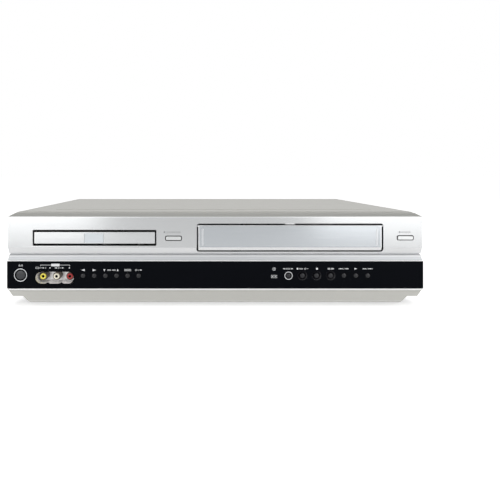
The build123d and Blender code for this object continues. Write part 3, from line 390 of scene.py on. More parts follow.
# a plain block, each of its three sides given as from and to in millimetres
def addBlock(acrossX, acrossY, acrossZ):
    sides = (acrossX, acrossY, acrossZ)
    bpy.ops.object.select_all(action="DESELECT")
    bpy.ops.mesh.primitive_cube_add(
        size=1,
        location=[(start + end) / 2 * mm for start, end in sides],
        scale=[(end - start) * mm for start, end in sides],
    )
    obj = bpy.context.active_object
    settle(obj)
    return obj


# a closed cylinder along Y, in metres
def cylinderAlongY(radius, x, z, y0, y1, sides):
    bpy.ops.object.select_all(action="DESELECT")
    bpy.ops.mesh.primitive_cylinder_add(
        vertices=sides, radius=radius, depth=y1 - y0,
        location=(x, (y0 + y1) / 2, z), rotation=(math.pi / 2, 0, 0),
    )
    obj = bpy.context.active_object
    settle(obj)
    return obj


# node: name of the piece, its finish, the rounding of its edges in millimetres
dressing = {
    "top_cover": ("coverShell", "coverPaint", 0.3),
    "control_window": ("windowStrip", "windowBlack", 0.12),
    "av_jack_plate": ("jackCup", "recessGrey", 0.2),
    "open_close_button": ("openButton", "buttonSilver", 0.2),
    "eject_button": ("ejectButton", "buttonSilver", 0.2),
    "power_ring": ("powerRing", "windowBlack", 0.15),
    "selector_ring": ("selectorRing", "windowBlack", 0.12),
    "rear_panel": ("rearSheet", "sheetSteel", 0.12),
    "chassis_base": ("baseTray", "sheetSteel", 0.12),
    "disc_tray": ("trayPlate", "trayDark", 0.3),
    "mains_inlet": ("inletBlock", "blackPlastic", 0.25),
    "feet": ("feetPads", "rubber", 0.5),
}
shells = {}
for node, (name, finish, rounding) in dressing.items():
    shells[name] = dressedCopy(node, name, finish, rounding)
stripLow, stripHigh = boxOf("control_window")
faceY = stripHigh.y

# the two bar buttons stand in a gap, their sides behind the face painted black as shade
barButtons = {"gap": 0.4, "shadeBehind": 0.5}
for name, node in (("openButton", "open_close_button"), ("ejectButton", "eject_button")):
    drawIn(shells[name], node, barButtons["gap"])
    repaint(shells[name], "blackPlastic", lambda c, n: c.y > faceY + barButtons["shadeBehind"] * mm)

# the cup's rim and the dishes of the strip
strip = {"rim": 0.5, "dish": 5.2, "flat": -0.97, "turned": -0.2}
repaint(shells["jackCup"], "windowBlack",
        lambda c, n: c.y < stripLow.y + strip["rim"] * mm and n.y < strip["turned"])
for node in ("record_button", "stop_button", "pause_button"):
    dish = middleOf(node)
    repaint(shells["windowStrip"], "dishGloss", lambda c, n: strip["flat"] < n.y < strip["turned"]
            and math.hypot(c.x - dish.x, c.z - dish.z) < strip["dish"] * mm)
print("shells eased")

# the front moulding, one silver part, from the top down: painted highlight on the edge, silver face,
# facet with painted light, waist and ledge with painted shade, painted shade below with painted light
# along the bottom; the top bevel has painted shade and the lips a painted highlight
bezel = {
    "rounding": 0.3, "bevelFrom": 92.75, "bevelDeep": 5.0, "edgeFrom": 91.8, "facetTop": 60.7,
    "facetLow": 54.4, "waistLow": 50.8, "ledgeLow": 47.8, "lowerBelow": 17.9, "lightBelow": 6.6,
    "lipDepth": 0.25, "turned": -0.3,
}
bezelShell = mergedCopy("front_bezel")
for level in (bezel["edgeFrom"], bezel["facetTop"], bezel["waistLow"]):
    cutAcross(bezelShell, (0, 0, level * mm), (0, 0, 1))
easeEdges(bezelShell, bezel["rounding"])
smoothShade(bezelShell)
finishPiece(
    bezelShell, "bezelShell", "bezelSilver", "chassis", ("front_bezel",)
)


def paintBand(finish, low, high):
    repaint(bezelShell, finish, lambda c, n: low * mm < c.z < high * mm)


# painted highlight along the top edge
repaint(bezelShell, "edgePaintedHighlight", lambda c, n: bezel["edgeFrom"] * mm < c.z and n.y < bezel["turned"])
# painted light on the facet, painted shade on the ledge and on the waist
paintBand("facetPaintedLight", bezel["facetLow"], bezel["facetTop"])
paintBand("ledgePaintedShade", bezel["ledgeLow"], bezel["waistLow"])
paintBand("waistPaintedShade", bezel["waistLow"], bezel["facetLow"])
# painted shade on the top bevel; the cover paint behind it is its own colour
bevelFloor = bezel["bevelFrom"] * mm
bevelBack = faceY + bezel["bevelDeep"] * mm
repaint(bezelShell, "bevelPaintedShade", lambda c, n: c.z > bevelFloor and c.y < bevelBack)
repaint(bezelShell, "coverPaint", lambda c, n: c.z > bevelFloor and c.y >= bevelBack)
# painted shade on the moulding below the strip, and painted light along its bottom
repaint(bezelShell, "lowerPaintedShade", lambda c, n: c.z < bezel["lowerBelow"] * mm)
repaint(bezelShell, "bottomPaintedLight", lambda c, n: c.z < bezel["lightBelow"] * mm)
# painted highlight on the lips above and below the strip
repaint(bezelShell, "paintedHighlightWhite", lambda c, n: c.y < faceY - bezel["lipDepth"] * mm)

# painted shade: the walls of the holes are painted black
holes = {"edge": 1.0, "flat": -0.9}
for node in ("open_close_button", "eject_button", "cassette_door", "disc_door"):
    low, high = boxOf(node)
    edge = holes["edge"] * mm
    repaint(bezelShell, "blackPlastic", lambda c, n: n.y > holes["flat"]
            and low.x - edge < c.x < high.x + edge and low.z - edge < c.z < high.z + edge)

# tray door, with the frosted plate on it
discDoor = {"rounding": 0.25, "gap": 0.2}
doorPanel = dressedCopy("disc_door", "discDoorPanel", "doorSilver", discDoor["rounding"])
drawIn(doorPanel, "disc_door", discDoor["gap"])
badge = {
    "x": -125.4, "z": 70.6, "wide": 20.4, "high": 10.0, "thick": 0.2, "edge": 0.7, "round": 0.8,
    "sunk": 0.06, "frostHalf": 8.505, "flat": -0.9, "shading": 30,
}
doorFront = boxOf("disc_door")[0].y / mm
plate = addBlock(
    (badge["x"] - badge["wide"] / 2, badge["x"] + badge["wide"] / 2),
    (doorFront - badge["thick"], doorFront),
    (badge["z"] - badge["high"] / 2, badge["z"] + badge["high"] / 2),
)
mesh = plate.data
weights = mesh.attributes.new("bevel_weight_edge", "FLOAT", "EDGE")
for edge in mesh.edges:
    start, end = (mesh.vertices[i].co for i in edge.vertices)
    weights.data[edge.index].value = 1.0 if abs(start.y - end.y) > badge["thick"] * mm / 2 else 0.0
applyModifier(plate, "BEVEL", width=badge["round"] * mm, segments=4, limit_method="WEIGHT")
selectWhere(plate, "FACE", lambda c, n: n.y < badge["flat"])
bpy.ops.mesh.inset(thickness=badge["edge"] * mm, depth=-badge["sunk"] * mm)
leaveEdit()
smoothShade(plate, badge["shading"])
finishPiece(plate, "doorBadge", "badgeEdge", "tray")
repaint(plate, "badgeFrost", lambda c, n: n.y < badge["flat"]
        and abs(c.x - badge["x"] * mm) < badge["frostHalf"] * mm)

# cassette flap: its middle raised between two ridges, a painted highlight on its rim, and a band of
# painted light low down
flap = {
    "left": -12.9, "right": 167.6, "raise": 0.25, "low": 61.3, "rounding": 0.18, "sharp": 40,
    "gap": 0.3, "rim": 1.0, "rimDepth": 0.4, "rimTurned": -0.3, "bandTop": 60.9, "bandTurned": -0.5,
    "flat": -0.95, "frontWithin": 0.2,
}
tapeDoor = mergedCopy("cassette_door")
frontLimit = faceY + flap["frontWithin"] * mm
frontPoints = [vertex.co.copy() for vertex in tapeDoor.data.vertices if vertex.co.y < frontLimit]
flapLeft = min(point.x for point in frontPoints)
flapRight = max(point.x for point in frontPoints)
flapTop = max(point.z for point in frontPoints)
raisedLeft = flap["left"] * mm
raisedRight = flap["right"] * mm
raisedLow = flap["low"] * mm
rim = flap["rim"] * mm
for cutX in (raisedLeft, raisedRight, flapLeft + rim, flapRight - rim):
    cutAcross(tapeDoor, (cutX, 0, 0), (1, 0, 0))
for cutZ in (raisedLow, flapTop - rim):
    cutAcross(tapeDoor, (0, 0, cutZ), (0, 0, 1))
selectWhere(tapeDoor, "FACE", lambda c, n: n.y < flap["flat"] and c.y < frontLimit
            and raisedLeft < c.x < raisedRight and c.z > raisedLow)
bpy.ops.mesh.extrude_region_move(TRANSFORM_OT_translate={"value": (0, -flap["raise"] * mm, 0)})
leaveEdit()
easeEdges(tapeDoor, flap["rounding"], 2, flap["sharp"])
drawIn(tapeDoor, "cassette_door", flap["gap"])
smoothShade(tapeDoor)
finishPiece(tapeDoor, "tapeDoorPanel", "flapSilver", "cassette_door", ("cassette_door",))
# painted highlight on the rim faces
rimBack = faceY + flap["rimDepth"] * mm
repaint(tapeDoor, "flapRimHighlight", lambda c, n: n.y < flap["rimTurned"] and c.y < rimBack
        and (c.z > flapTop - rim or c.x < flapLeft + rim or c.x > flapRight - rim))
# painted light on the lower band
repaint(tapeDoor, "flapLowPaintedLight", lambda c, n: c.z < flap["bandTop"] * mm and n.y < flap["bandTurned"])

# the ridges are raised edges whose lighter finish is a painted highlight
ridges = {
    "at": (-12.9, 167.6), "half": 1.0, "low": 62.6, "high": 80.4, "proud": 0.5, "ahead": 0.1,
    "round": 0.4,
}
flapFront = boxOf("cassette_door")[0].y / mm
bars = []
for x in ridges["at"]:
    bar = addBlock(
        (x - ridges["half"], x + ridges["half"]),
        (flapFront - ridges["ahead"] - ridges["proud"], flapFront - ridges["ahead"] + ridges["proud"]),
        (ridges["low"], ridges["high"]),
    )
    easeEdges(bar, ridges["round"], 3)
    smoothShade(bar)
    bars.append(bar)
finishPiece(joinAll(bars), "flapRidges", "flapRidgeHighlight", "cassette_door")

# the stop that breaks the dark line over the flap, white as a painted highlight
stop = {"x": (72.7, 82.7), "front": 0.25, "back": 2.25, "z": (84.85, 85.75), "round": 0.15}
faceAt = faceY / mm
stopTab = addBlock(stop["x"], (faceAt + stop["front"], faceAt + stop["back"]), stop["z"])
easeEdges(stopTab, stop["round"])
smoothShade(stopTab)
finishPiece(stopTab, "flapStop", "paintedHighlightWhite", "chassis")

# the bead along the underside of the strip, white as a painted highlight
bead = {"x": (-213.8, 213.8), "y": (-131.95, -130.4), "z": (17.3, 18.85), "round": 0.5}
stripBead = addBlock(bead["x"], bead["y"], bead["z"])
easeEdges(stripBead, bead["round"], 3)
smoothShade(stripBead)
finishPiece(stripBead, "stripBead", "paintedHighlightWhite", "chassis")
print("doors made")

# a round cap with a dome in place of its flat front
caps = {
    "rings": 6, "rise": 0.8, "powerRise": 0.6, "lastTurn": 84.0, "frontWithin": 0.1, "rimWithin": 0.05,
    "shading": 50,
}


def domedCap(node, name, finish, rise):
    obj = mergedCopy(node)
    front = boxOf(node)[0].y
    middle = middleOf(node)
    selectWhere(obj, "VERT", lambda p: p.y < front + caps["frontWithin"] * mm)
    bpy.ops.mesh.delete(type="VERT")
    leaveEdit()
    rimY = min(vertex.co.y for vertex in obj.data.vertices)
    springY = front + rise * mm
    selectWhere(obj, "EDGE", lambda p: p.y < rimY + caps["rimWithin"] * mm)
    bpy.ops.transform.translate(value=(0, springY - rimY, 0))
    before = 1.0
    lastY = springY
    for step in range(1, caps["rings"] + 1):
        turn = math.radians(caps["lastTurn"] * step / caps["rings"])
        ringY = springY - rise * mm * math.sin(turn)
        bpy.ops.mesh.extrude_edges_move(TRANSFORM_OT_translate={"value": (0, ringY - lastY, 0)})
        scale = math.cos(turn) / before
        bpy.ops.transform.resize(value=(scale, 1, scale), center_override=(middle.x, ringY, middle.z))
        before = math.cos(turn)
        lastY = ringY
    bpy.ops.mesh.edge_face_add()
    leaveEdit()
    pointOutwards(obj)
    smoothShade(obj, caps["shading"], weighted=False)
    return finishPiece(obj, name, finish, node, (node,))


smallCaps = {
    "cursor_left_button": "leftCap", "cursor_right_button": "rightCap",
    "cursor_down_button": "downCap", "cursor_up_button": "upCap",
    "menu_button": "menuCap", "enter_button": "enterCap",
    "selector_button": "selectorCap", "record_button": "recordCap",
    "stop_button": "stopCap", "pause_button": "pauseCap",
    "rewind_button": "rewindCap", "play_button": "playCap", "forward_button": "forwardCap",
}
for node, name in smallCaps.items():
    domedCap(node, name, "buttonDark", caps["rise"])
# the power cap's streaked finish carries painted reflection
domedCap("power_button", "powerCap", "powerDarkAndSheen", caps["powerRise"])
print("caps domed")


# round stock counts as sharp above this angle, and a face turned this far to Y is its end
roundStock = {"sharp": 40, "end": 0.9}


# a ring or pipe, open right through
def tubeAlongY(outer, inner, x, z, y0, y1, sides, rounding):
    obj = cylinderAlongY(outer, x, z, y0, y1, sides)
    selectWhere(obj, "FACE", lambda c, n: abs(n.y) > roundStock["end"])
    bpy.ops.mesh.inset(thickness=outer - inner, use_individual=True)
    bpy.ops.mesh.bridge_edge_loops()
    leaveEdit()
    easeEdges(obj, rounding, 2, roundStock["sharp"])
    pointOutwards(obj)
    smoothShade(obj, roundStock["sharp"])
    return obj


# front jacks: coloured collar with a throat painted dark as shade, in a barrel darkened as painted
# shade, with a dark plug far in that is painted shade
jacks = {
    "collarOuter": 3.15, "collarInner": 1.35, "collarDeep": 4.0, "collarRound": 0.55,
    "throatWall": 0.15, "throatFrom": 0.4, "barrelBack": 1.3, "barrelGap": 0.02, "barrelRound": 0.3,
    "plug": 1.37, "plugFront": 1.6, "plugBack": 3.0, "plugRound": 0.05, "sides": 40, "plugSides": 28,
}
barrels = []
plugs = []
for node, name, finish in (
    ("jack_yellow", "yellowCollar", "jackYellow"),
    ("jack_white", "whiteCollar", "jackWhite"),
    ("jack_red", "redCollar", "jackRed"),
):
    jackLow, jackHigh = boxOf(node)
    middle = middleOf(node)
    tip = jackLow.y
    collar = tubeAlongY(
        jacks["collarOuter"] * mm, jacks["collarInner"] * mm, middle.x, middle.z,
        tip, tip + jacks["collarDeep"] * mm, jacks["sides"], jacks["collarRound"],
    )
    finishPiece(collar, name, finish, "chassis", (node,))
    throat = (jacks["collarInner"] + jacks["throatWall"]) * mm
    # painted shade in the throat
    repaint(collar, "boreShade", lambda c, n: c.y > tip + jacks["throatFrom"] * mm
            and math.hypot(c.x - middle.x, c.z - middle.z) < throat)
    barrelOuter = (jackHigh.x - jackLow.x) / 2
    barrelInner = (jacks["collarOuter"] + jacks["barrelGap"]) * mm
    barrels.append(tubeAlongY(
        barrelOuter, barrelInner, middle.x, middle.z, tip + jacks["barrelBack"] * mm, jackHigh.y,
        jacks["sides"], jacks["barrelRound"],
    ))
    # a dark disc deep in the hole as painted shade
    plug = cylinderAlongY(jacks["plug"] * mm, middle.x, middle.z, tip + jacks["plugFront"] * mm,
                          tip + jacks["plugBack"] * mm, jacks["plugSides"])
    easeEdges(plug, jacks["plugRound"], 2, roundStock["sharp"])
    smoothShade(plug, roundStock["sharp"])
    plugs.append(plug)
# the barrels are darkened as painted shade
finishPiece(joinAll(barrels), "jackBarrels", "coreSteelAndShade", "chassis")
finishPiece(joinAll(plugs), "jackBores", "boreShade", "chassis")

# the thin bright bands on the two rings
bands = {
    "power": (6.7, 5.95), "selector": (4.2, 3.5), "front": 0.08, "deep": 0.9, "sides": 48, "round": 0.2,
}
for node, name, finish, (outer, inner) in (
    ("power_ring", "powerBand", "ringSilver", bands["power"]),
    ("selector_ring", "selectorBand", "ringWhite", bands["selector"]),
):
    ringFront = boxOf(node)[0].y
    middle = middleOf(node)
    band = tubeAlongY(outer * mm, inner * mm, middle.x, middle.z, ringFront - bands["front"] * mm,
                      ringFront + bands["deep"] * mm, bands["sides"], bands["round"])
    finishPiece(band, name, finish, "chassis")
print("jacks made")

# printed symbols: thin plates a twentieth of a millimetre proud of the face that carries them
marks = {
    "proud": 0.05, "sunk": 0.03, "line": 0.3, "wedgeRadius": 0.577, "dotSides": 20, "ringSides": 28,
}
downWay = math.pi
rightWay = math.pi / 2
leftWay = -math.pi / 2


def addMark(kind, x, y, z, wide, high, turn):
    bpy.ops.object.select_all(action="DESELECT")
    stand = {"location": (x * mm, y, z * mm), "rotation": (math.pi / 2, turn, 0)}
    if kind in ("bar", "frame"):
        bpy.ops.mesh.primitive_plane_add(size=1, **stand)
    else:
        sides = {"wedge": 3, "dot": marks["dotSides"], "ring": marks["ringSides"]}[kind]
        radius = marks["wedgeRadius"] if kind == "wedge" else 0.5
        bpy.ops.mesh.primitive_circle_add(vertices=sides, radius=radius, fill_type="NGON", **stand)
    obj = bpy.context.active_object
    obj.scale = (wide * mm, high * mm, 1)
    settle(obj)
    if kind in ("ring", "frame"):
        selectAll(obj)
        bpy.ops.mesh.inset(thickness=marks["line"] * mm)
        bpy.ops.mesh.delete(type="FACE")
        leaveEdit()
    return obj


def printMarks(name, finish, faceAt, shapes):
    parts = []
    for kind, x, z, wide, high, turn in shapes:
        parts.append(addMark(kind, x, faceAt + marks["sunk"] * mm, z, wide, high, turn))
    obj = joinAll(parts)
    selectAll(obj)
    depth = (marks["sunk"] + marks["proud"]) * mm
    bpy.ops.mesh.extrude_region_move(TRANSFORM_OT_translate={"value": (0, -depth, 0)})
    leaveEdit()
    return finishPiece(obj, name, finish, "chassis")


def centreOf(node):
    middle = middleOf(node)
    return middle.x / mm, middle.z / mm


# over each button, in millimetres from its centre: kind, across, up, wide, high, turn
rowRise = {"power": 9.8, "left": 5.9, "right": 7.1}
buttonMarks = {
    "power_button": ("power", [
        ("ring", -1.2, -0.1, 1.8, 1.8, 0), ("bar", -1.2, 0.7, 0.3, 1.1, 0),
        ("bar", 0.8, 0, 0.3, 2.1, 0.35), ("bar", 1.9, 0, 0.35, 1.9, 0),
    ]),
    "cursor_left_button": ("left", [("wedge", 0.6, 0, 2.2, 4.2, leftWay)]),
    "cursor_right_button": ("left", [("wedge", -0.3, 0, 2.2, 4.2, rightWay)]),
    "cursor_down_button": ("left", [
        ("wedge", -0.9, 0.2, 2.0, 2.6, downWay),
        ("bar", 4.0, 0.4, 3.8, 0.3, 0), ("bar", 4.0, -0.4, 3.8, 0.3, 0),
    ]),
    "cursor_up_button": ("left", [
        ("wedge", 1.3, -0.2, 2.0, 2.6, 0),
        ("bar", -2.6, 0.4, 3.8, 0.3, 0), ("bar", -2.6, -0.4, 3.8, 0.3, 0),
    ]),
    "menu_button": ("left", [
        ("bar", 0.2, 0.8, 7.0, 0.32, 0), ("bar", 0.2, 0, 7.0, 0.32, 0),
        ("bar", 0.2, -0.8, 7.0, 0.32, 0),
    ]),
    "enter_button": ("left", [
        ("ring", -2.7, 0, 1.9, 1.9, 0), ("bar", -0.1, 0, 2.6, 0.35, 0),
        ("wedge", 2.4, 0, 1.6, 2.2, rightWay),
    ]),
    "selector_button": ("right", [
        ("wedge", -4.7, 0, 1.6, 2.2, leftWay), ("bar", -0.6, 0.45, 5.4, 0.3, 0),
        ("bar", -0.6, -0.45, 5.4, 0.3, 0), ("wedge", 3.5, 0, 1.6, 2.2, rightWay),
    ]),
    "record_button": ("right", [
        ("dot", -5.2, 0, 1.9, 1.9, 0), ("bar", -1.4, 0.4, 4.0, 0.3, 0), ("bar", -1.4, -0.4, 4.0, 0.3, 0),
        ("ring", 2.6, 0, 1.8, 1.8, 0), ("bar", 5.0, 0, 1.8, 0.35, 0),
    ]),
    "stop_button": ("right", [("bar", 0.4, 0, 1.9, 1.9, 0)]),
    "pause_button": ("right", [
        ("bar", -2.6, 0, 0.7, 1.7, 0), ("bar", -1.4, 0, 0.7, 1.7, 0), ("bar", 0, 0, 0.3, 1.9, 0.3),
        ("bar", 1.1, 0, 0.6, 1.7, 0), ("wedge", 2.5, 0, 1.7, 2.3, rightWay),
    ]),
    "rewind_button": ("right", [
        ("bar", -5.2, 0, 0.35, 1.5, 0), ("wedge", -3.9, 0, 1.4, 2.2, leftWay),
        ("wedge", -2.1, 0, 1.4, 2.2, leftWay), ("bar", -0.1, 0, 0.28, 1.9, 0.35),
        ("wedge", 2.0, 0, 1.4, 2.2, leftWay), ("wedge", 3.8, 0, 1.4, 2.2, leftWay),
    ]),
    "play_button": ("right", [("wedge", -0.6, 0, 1.9, 3.1, rightWay)]),
    "forward_button": ("right", [
        ("wedge", -4.6, 0, 1.4, 2.2, rightWay), ("wedge", -2.8, 0, 1.4, 2.2, rightWay),
        ("bar", -0.9, 0, 0.28, 1.9, 0.35), ("wedge", 1.2, 0, 1.4, 2.2, rightWay),
        ("wedge", 3.0, 0, 1.4, 2.2, rightWay), ("bar", 4.4, 0, 0.35, 1.5, 0),
    ]),
}
symbols = []
for node, (row, shapes) in buttonMarks.items():
    x, z = centreOf(node)
    for kind, across, up, wide, high, turn in shapes:
        symbols.append((kind, x + across, z + rowRise[row] + up, wide, high, turn))

# over the jacks: a line with turned-down ends and a plain tab in its middle
jackLine = {
    "z": 43.3, "left": -180.0, "right": -149.6, "thick": 0.35, "endLong": 1.05, "endDrop": 0.72,
    "endIn": 0.17, "tab": -164.5, "tabWide": 8.6, "tabHigh": 2.7,
}
tabLeft = jackLine["tab"] - jackLine["tabWide"] / 2
tabRight = jackLine["tab"] + jackLine["tabWide"] / 2
for start, end in ((jackLine["left"], tabLeft), (tabRight, jackLine["right"])):
    symbols.append(("bar", (start + end) / 2, jackLine["z"], end - start, jackLine["thick"], 0))
endZ = jackLine["z"] - jackLine["endDrop"]
for x in (jackLine["left"] + jackLine["endIn"], jackLine["right"] - jackLine["endIn"]):
    symbols.append(("bar", x, endZ, jackLine["thick"], jackLine["endLong"], 0))
symbols.append(("bar", jackLine["tab"], jackLine["z"], jackLine["tabWide"], jackLine["tabHigh"], 0))

# under that line, small signs in place of the words: kind, across, wide, high
jackRow = {"z": 40.35, "turn": {"jack_yellow": rightWay, "jack_white": leftWay, "jack_red": rightWay}}
jackMarks = {
    "jack_yellow": [
        ("frame", -3.6, 3.6, 1.9), ("bar", -0.2, 2.4, 0.35),
        ("wedge", 2.4, 1.6, 2.2), ("bar", 5.0, 0.35, 1.7),
    ],
    "jack_white": [
        ("dot", -4.7, 1.3, 1.3), ("bar", 0.9, 1.0, 0.9),
        ("wedge", 2.1, 1.9, 1.6), ("bar", 4.0, 0.35, 1.7),
    ],
    "jack_red": [("bar", -8.2, 2.4, 0.35), ("wedge", -5.6, 1.6, 2.2), ("dot", 1.3, 1.3, 1.3)],
}
for node, shapes in jackMarks.items():
    x = centreOf(node)[0]
    for kind, across, wide, high in shapes:
        turn = jackRow["turn"][node] if kind == "wedge" else 0
        symbols.append((kind, x + across, jackRow["z"], wide, high, turn))

# two small pictures beside the selector: a disc and a cassette
pictures = {
    "x": 60.6, "disc": 39.3, "discWide": 3.4, "hole": 1.2,
    "tape": 31.5, "tapeWide": 5.8, "tapeHigh": 2.9, "reel": 1.1, "reelOut": 1.3,
}
symbols += [
    ("ring", pictures["x"], pictures["disc"], pictures["discWide"], pictures["discWide"], 0),
    ("dot", pictures["x"], pictures["disc"], pictures["hole"], pictures["hole"], 0),
    ("frame", pictures["x"], pictures["tape"], pictures["tapeWide"], pictures["tapeHigh"], 0),
]
for x in (pictures["x"] - pictures["reelOut"], pictures["x"] + pictures["reelOut"]):
    symbols.append(("dot", x, pictures["tape"], pictures["reel"], pictures["reel"], 0))
printMarks("stripSymbols", "markWhite", stripLow.y, symbols)

# over the two bar buttons: an arrow over a bar, and a pair of pale lines
legend = {
    "at": {"open_close_button": (-9.4, 6.2, 15.0), "eject_button": (-5.8, 6.0, 9.5)},
    "lines": (0.4, -0.6), "lineThick": 0.45, "lineFrom": 1.8,
    "wedge": (0.35, 1.8, 1.3), "bar": (-0.6, 1.8, 0.35),
}
panelMarks = []
paleMarks = []
for node, (across, up, long) in legend["at"].items():
    x, z = centreOf(node)
    lineX = x + across + legend["lineFrom"] + long / 2
    for rise in legend["lines"]:
        paleMarks.append(("bar", lineX, z + up + rise, long, legend["lineThick"], 0))
    for kind in ("wedge", "bar"):
        rise, wide, high = legend[kind]
        panelMarks.append((kind, x + across, z + up + rise, wide, high, 0))
printMarks("faceSymbols", "markGrey", faceY, panelMarks)
printMarks("faceLines", "markPale", faceY, paleMarks)
print("symbols printed", len(symbols) + len(panelMarks) + len(paleMarks))

# cover screws: rounded heads with a cross cut in them
screws = {
    "head": 3.15, "high": 1.25, "sides": 36, "round": 0.75, "slot": 0.7, "reach": 3.6, "slotDeep": 0.7,
    "side": (-62.0, 74.0), "rear": (-130.0, 105.0), "level": 11.5,
}


def crossScrew(place, way):
    bpy.ops.object.select_all(action="DESELECT")
    bpy.ops.mesh.primitive_cylinder_add(
        vertices=screws["sides"], radius=screws["head"] * mm, depth=screws["high"] * mm
    )
    obj = bpy.context.active_object
    selectWhere(obj, "EDGE", lambda p: p.z > 0)
    bpy.ops.mesh.bevel(offset=screws["round"] * mm, segments=4, affect="EDGES")
    leaveEdit()
    for turn in (0, math.pi / 2):
        bpy.ops.object.select_all(action="DESELECT")
        bpy.ops.mesh.primitive_cube_add(
            size=1,
            location=(0, 0, screws["high"] * mm / 2),
            rotation=(0, 0, turn),
            scale=(screws["slot"] * mm, screws["reach"] * mm, screws["slotDeep"] * 2 * mm),
        )
        cutter = bpy.context.active_object
        settle(cutter)
        applyModifier(obj, "BOOLEAN", object=cutter, operation="DIFFERENCE", solver="EXACT")
        bpy.data.objects.remove(cutter)
    smoothShade(obj)
    obj.rotation_euler = Vector(way).to_track_quat("Z", "Y").to_euler()
    obj.location = Vector(place) + Vector(way) * screws["high"] * mm / 2
    settle(obj)
    return obj


coverLow, coverHigh = boxOf("top_cover")
rearY = boxOf("rear_panel")[1].y
level = screws["level"] * mm
heads = []
for y in screws["side"]:
    heads.append(crossScrew((coverLow.x, y * mm, level), (-1, 0, 0)))
    heads.append(crossScrew((coverHigh.x, y * mm, level), (1, 0, 0)))
for x in screws["rear"]:
    heads.append(crossScrew((x * mm, rearY, level), (0, 1, 0)))
finishPiece(joinAll(heads), "crossScrews", "brightSteel", "chassis", ("cover_screws",))
print("screws made")

# rear sockets: nickel barrels, coloured rings, pale cores in the aerial sockets
rearJacks = {
    "firstX": -30.0, "pitch": 14.0, "ringOuter": 5.5, "ringInner": 4.2, "ringThick": 1.3,
    "ringFrom": 0.75, "sides": 32, "round": 0.25, "nickelFrom": 0.9, "tunerFrom": 0.1, "easing": 0.15,
    "rows": {
        30: ("jackYellow", "jackWhite", "jackRed", "jackGreen", "jackOrange"),
        48: ("jackYellow", "jackWhite", "jackRed", "jackBlue", "blackPlastic"),
    },
}
socketBlock = dressedCopy("rear_jacks", "socketBlock", "blackPlastic", rearJacks["easing"])
repaint(socketBlock, "brightSteel", lambda c, n: c.y > rearY + rearJacks["nickelFrom"] * mm)
tunerBox = dressedCopy("tuner_module", "tunerBox", "sheetSteel", rearJacks["easing"])
repaint(tunerBox, "brightSteel", lambda c, n: c.y > rearY + rearJacks["tunerFrom"] * mm)
ringFrom = rearY + rearJacks["ringFrom"] * mm
for row, colours in rearJacks["rows"].items():
    for i, finish in enumerate(colours):
        x = (rearJacks["firstX"] + i * rearJacks["pitch"]) * mm
        ring = tubeAlongY(
            rearJacks["ringOuter"] * mm, rearJacks["ringInner"] * mm, x, row * mm, ringFrom,
            ringFrom + rearJacks["ringThick"] * mm, rearJacks["sides"], rearJacks["round"],
        )
        finishPiece(ring, f"socketRing{row}x{i}", finish, "chassis")
aerials = {
    "x": (152.0, 178.0), "z": 44.0, "core": 3.4, "hole": 1.45, "from": 0.6, "to": 0.1, "round": 0.1,
}
backY = cadBounds[1][1]
cores = []
for x in aerials["x"]:
    cores.append(tubeAlongY(
        aerials["core"] * mm, aerials["hole"] * mm, x * mm, aerials["z"] * mm,
        backY - aerials["from"] * mm, backY - aerials["to"] * mm, rearJacks["sides"], aerials["round"],
    ))
finishPiece(joinAll(cores), "aerialCores", "whitePlastic", "chassis")
print("rear sockets made")

# camera, worked out from the picture's vanishing point and the front's width
camera = {
    "vanishX": 194.4, "vanishY": 174.7, "frameSize": 500.0, "focal": 431.8, "sensor": 36.0,
    "distance": 447.0, "x": -21.4, "z": 136.3, "clip": 0.01,
}
camData = bpy.data.cameras.new("camera")
camData.sensor_width = camera["sensor"]
camData.lens = camera["focal"] * camera["sensor"] / camera["frameSize"]
camData.shift_x = (camera["frameSize"] / 2 - camera["vanishX"]) / camera["frameSize"]
camData.shift_y = (camera["vanishY"] - camera["frameSize"] / 2) / camera["frameSize"]
camData.clip_start = camera["clip"]
camObj = bpy.data.objects.new("camera", camData)
camObj.location = (camera["x"] * mm, faceY - camera["distance"] * mm, camera["z"] * mm)
camObj.rotation_euler = (math.pi / 2, 0, 0)
bpy.context.scene.collection.objects.link(camObj)
bpy.context.scene.camera = camObj

# floor, backdrop and light
studio = {
    "floor": 40.0, "floorDrop": 0.1, "floorColour": (0.80, 0.80, 0.80), "floorLift": 0.57,
    "white": (1, 1, 1), "soft": 0.55, "seen": 1.0,
}


# 1 where the camera, a mirror or glass sees the surroundings, 0 where these light the object
def seenRays(tree):
    path = tree.nodes.new("ShaderNodeLightPath")
    total = path.outputs["Is Camera Ray"]
    for ray in ("Is Glossy Ray", "Is Transmission Ray"):
        either = tree.nodes.new("ShaderNodeMath")
        either.operation = "MAXIMUM"
        tree.links.new(total, either.inputs[0])
        tree.links.new(path.outputs[ray], either.inputs[1])
        total = either.outputs["Value"]
    return total


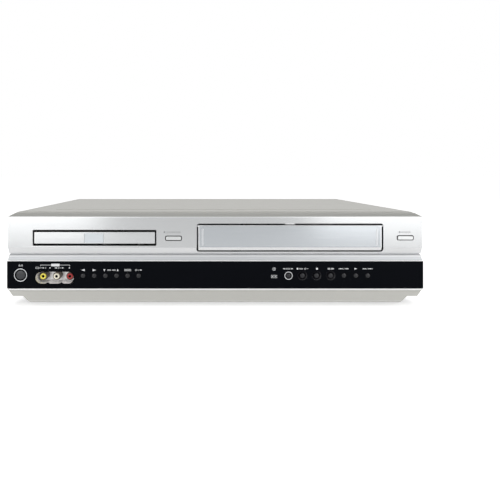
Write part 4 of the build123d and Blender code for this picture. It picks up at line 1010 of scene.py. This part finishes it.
def floorMaterial():
    mat = bpy.data.materials.new("floorWhite")
    mat.use_nodes = True
    tree = mat.node_tree
    tree.nodes.clear()
    out = tree.nodes.new("ShaderNodeOutputMaterial")
    base = tree.nodes.new("ShaderNodeBsdfDiffuse")
    base.inputs["Color"].default_value = (*studio["floorColour"], 1)
    glow = tree.nodes.new("ShaderNodeEmission")
    power = tree.nodes.new("ShaderNodeMath")
    power.operation = "MULTIPLY"
    power.inputs[1].default_value = studio["floorLift"]
    tree.links.new(seenRays(tree), power.inputs[0])
    tree.links.new(power.outputs["Value"], glow.inputs["Strength"])
    both = tree.nodes.new("ShaderNodeAddShader")
    tree.links.new(base.outputs["BSDF"], both.inputs[0])
    tree.links.new(glow.outputs["Emission"], both.inputs[1])
    tree.links.new(both.outputs["Shader"], out.inputs["Surface"])
    return mat


bpy.ops.object.select_all(action="DESELECT")
bpy.ops.mesh.primitive_plane_add(size=studio["floor"], location=(0, 0, -studio["floorDrop"] * mm))
floor = bpy.context.active_object
floor.name = "floor"
floor.data.materials.append(floorMaterial())

world = bpy.data.worlds.new("studioWorld")
bpy.context.scene.world = world
world.use_nodes = True
worldTree = world.node_tree
worldTree.nodes.clear()
worldOut = worldTree.nodes.new("ShaderNodeOutputWorld")
choose = worldTree.nodes.new("ShaderNodeMixShader")
worldTree.links.new(seenRays(worldTree), choose.inputs["Fac"])
for socket, strength in ((1, studio["soft"]), (2, studio["seen"])):
    backdrop = worldTree.nodes.new("ShaderNodeBackground")
    backdrop.inputs["Color"].default_value = (*studio["white"], 1)
    backdrop.inputs["Strength"].default_value = strength
    worldTree.links.new(backdrop.outputs["Background"], choose.inputs[socket])
worldTree.links.new(choose.outputs["Shader"], worldOut.inputs["Surface"])


def softBox(name, place, aim, size, power):
    light = bpy.data.lights.new(name, "AREA")
    light.shape = "RECTANGLE"
    light.size, light.size_y = size
    light.energy = power
    obj = bpy.data.objects.new(name, light)
    obj.location = place
    obj.rotation_euler = (Vector(aim) - Vector(place)).to_track_quat("-Z", "Y").to_euler()
    bpy.context.scene.collection.objects.link(obj)


# place, aim, size and power: the two low front boxes leave the middle of the front without a bright
# reflection, and a small lamp high on the right puts glints on the round buttons
lamps = {
    "leftBox": ((-0.585, -0.68, 0.255), (-0.585, 0.0, 0.20), (0.68, 0.5), 2.05),
    "rightBox": ((0.60, -0.68, 0.255), (0.60, 0.0, 0.20), (0.68, 0.5), 1.92),
    "topBox": ((0.0, 0.1, 1.6), (0.0, 0.0, 0.0), (1.6, 1.2), 7.2),
    "glintLamp": ((1.1, -0.8, 0.75), (0.0, -0.13, 0.03), (0.14, 0.14), 1.2),
}
for name, (place, aim, size, power) in lamps.items():
    softBox(name, place, aim, size, power)
bpy.context.scene.view_settings.view_transform = "Standard"
print("stage set")
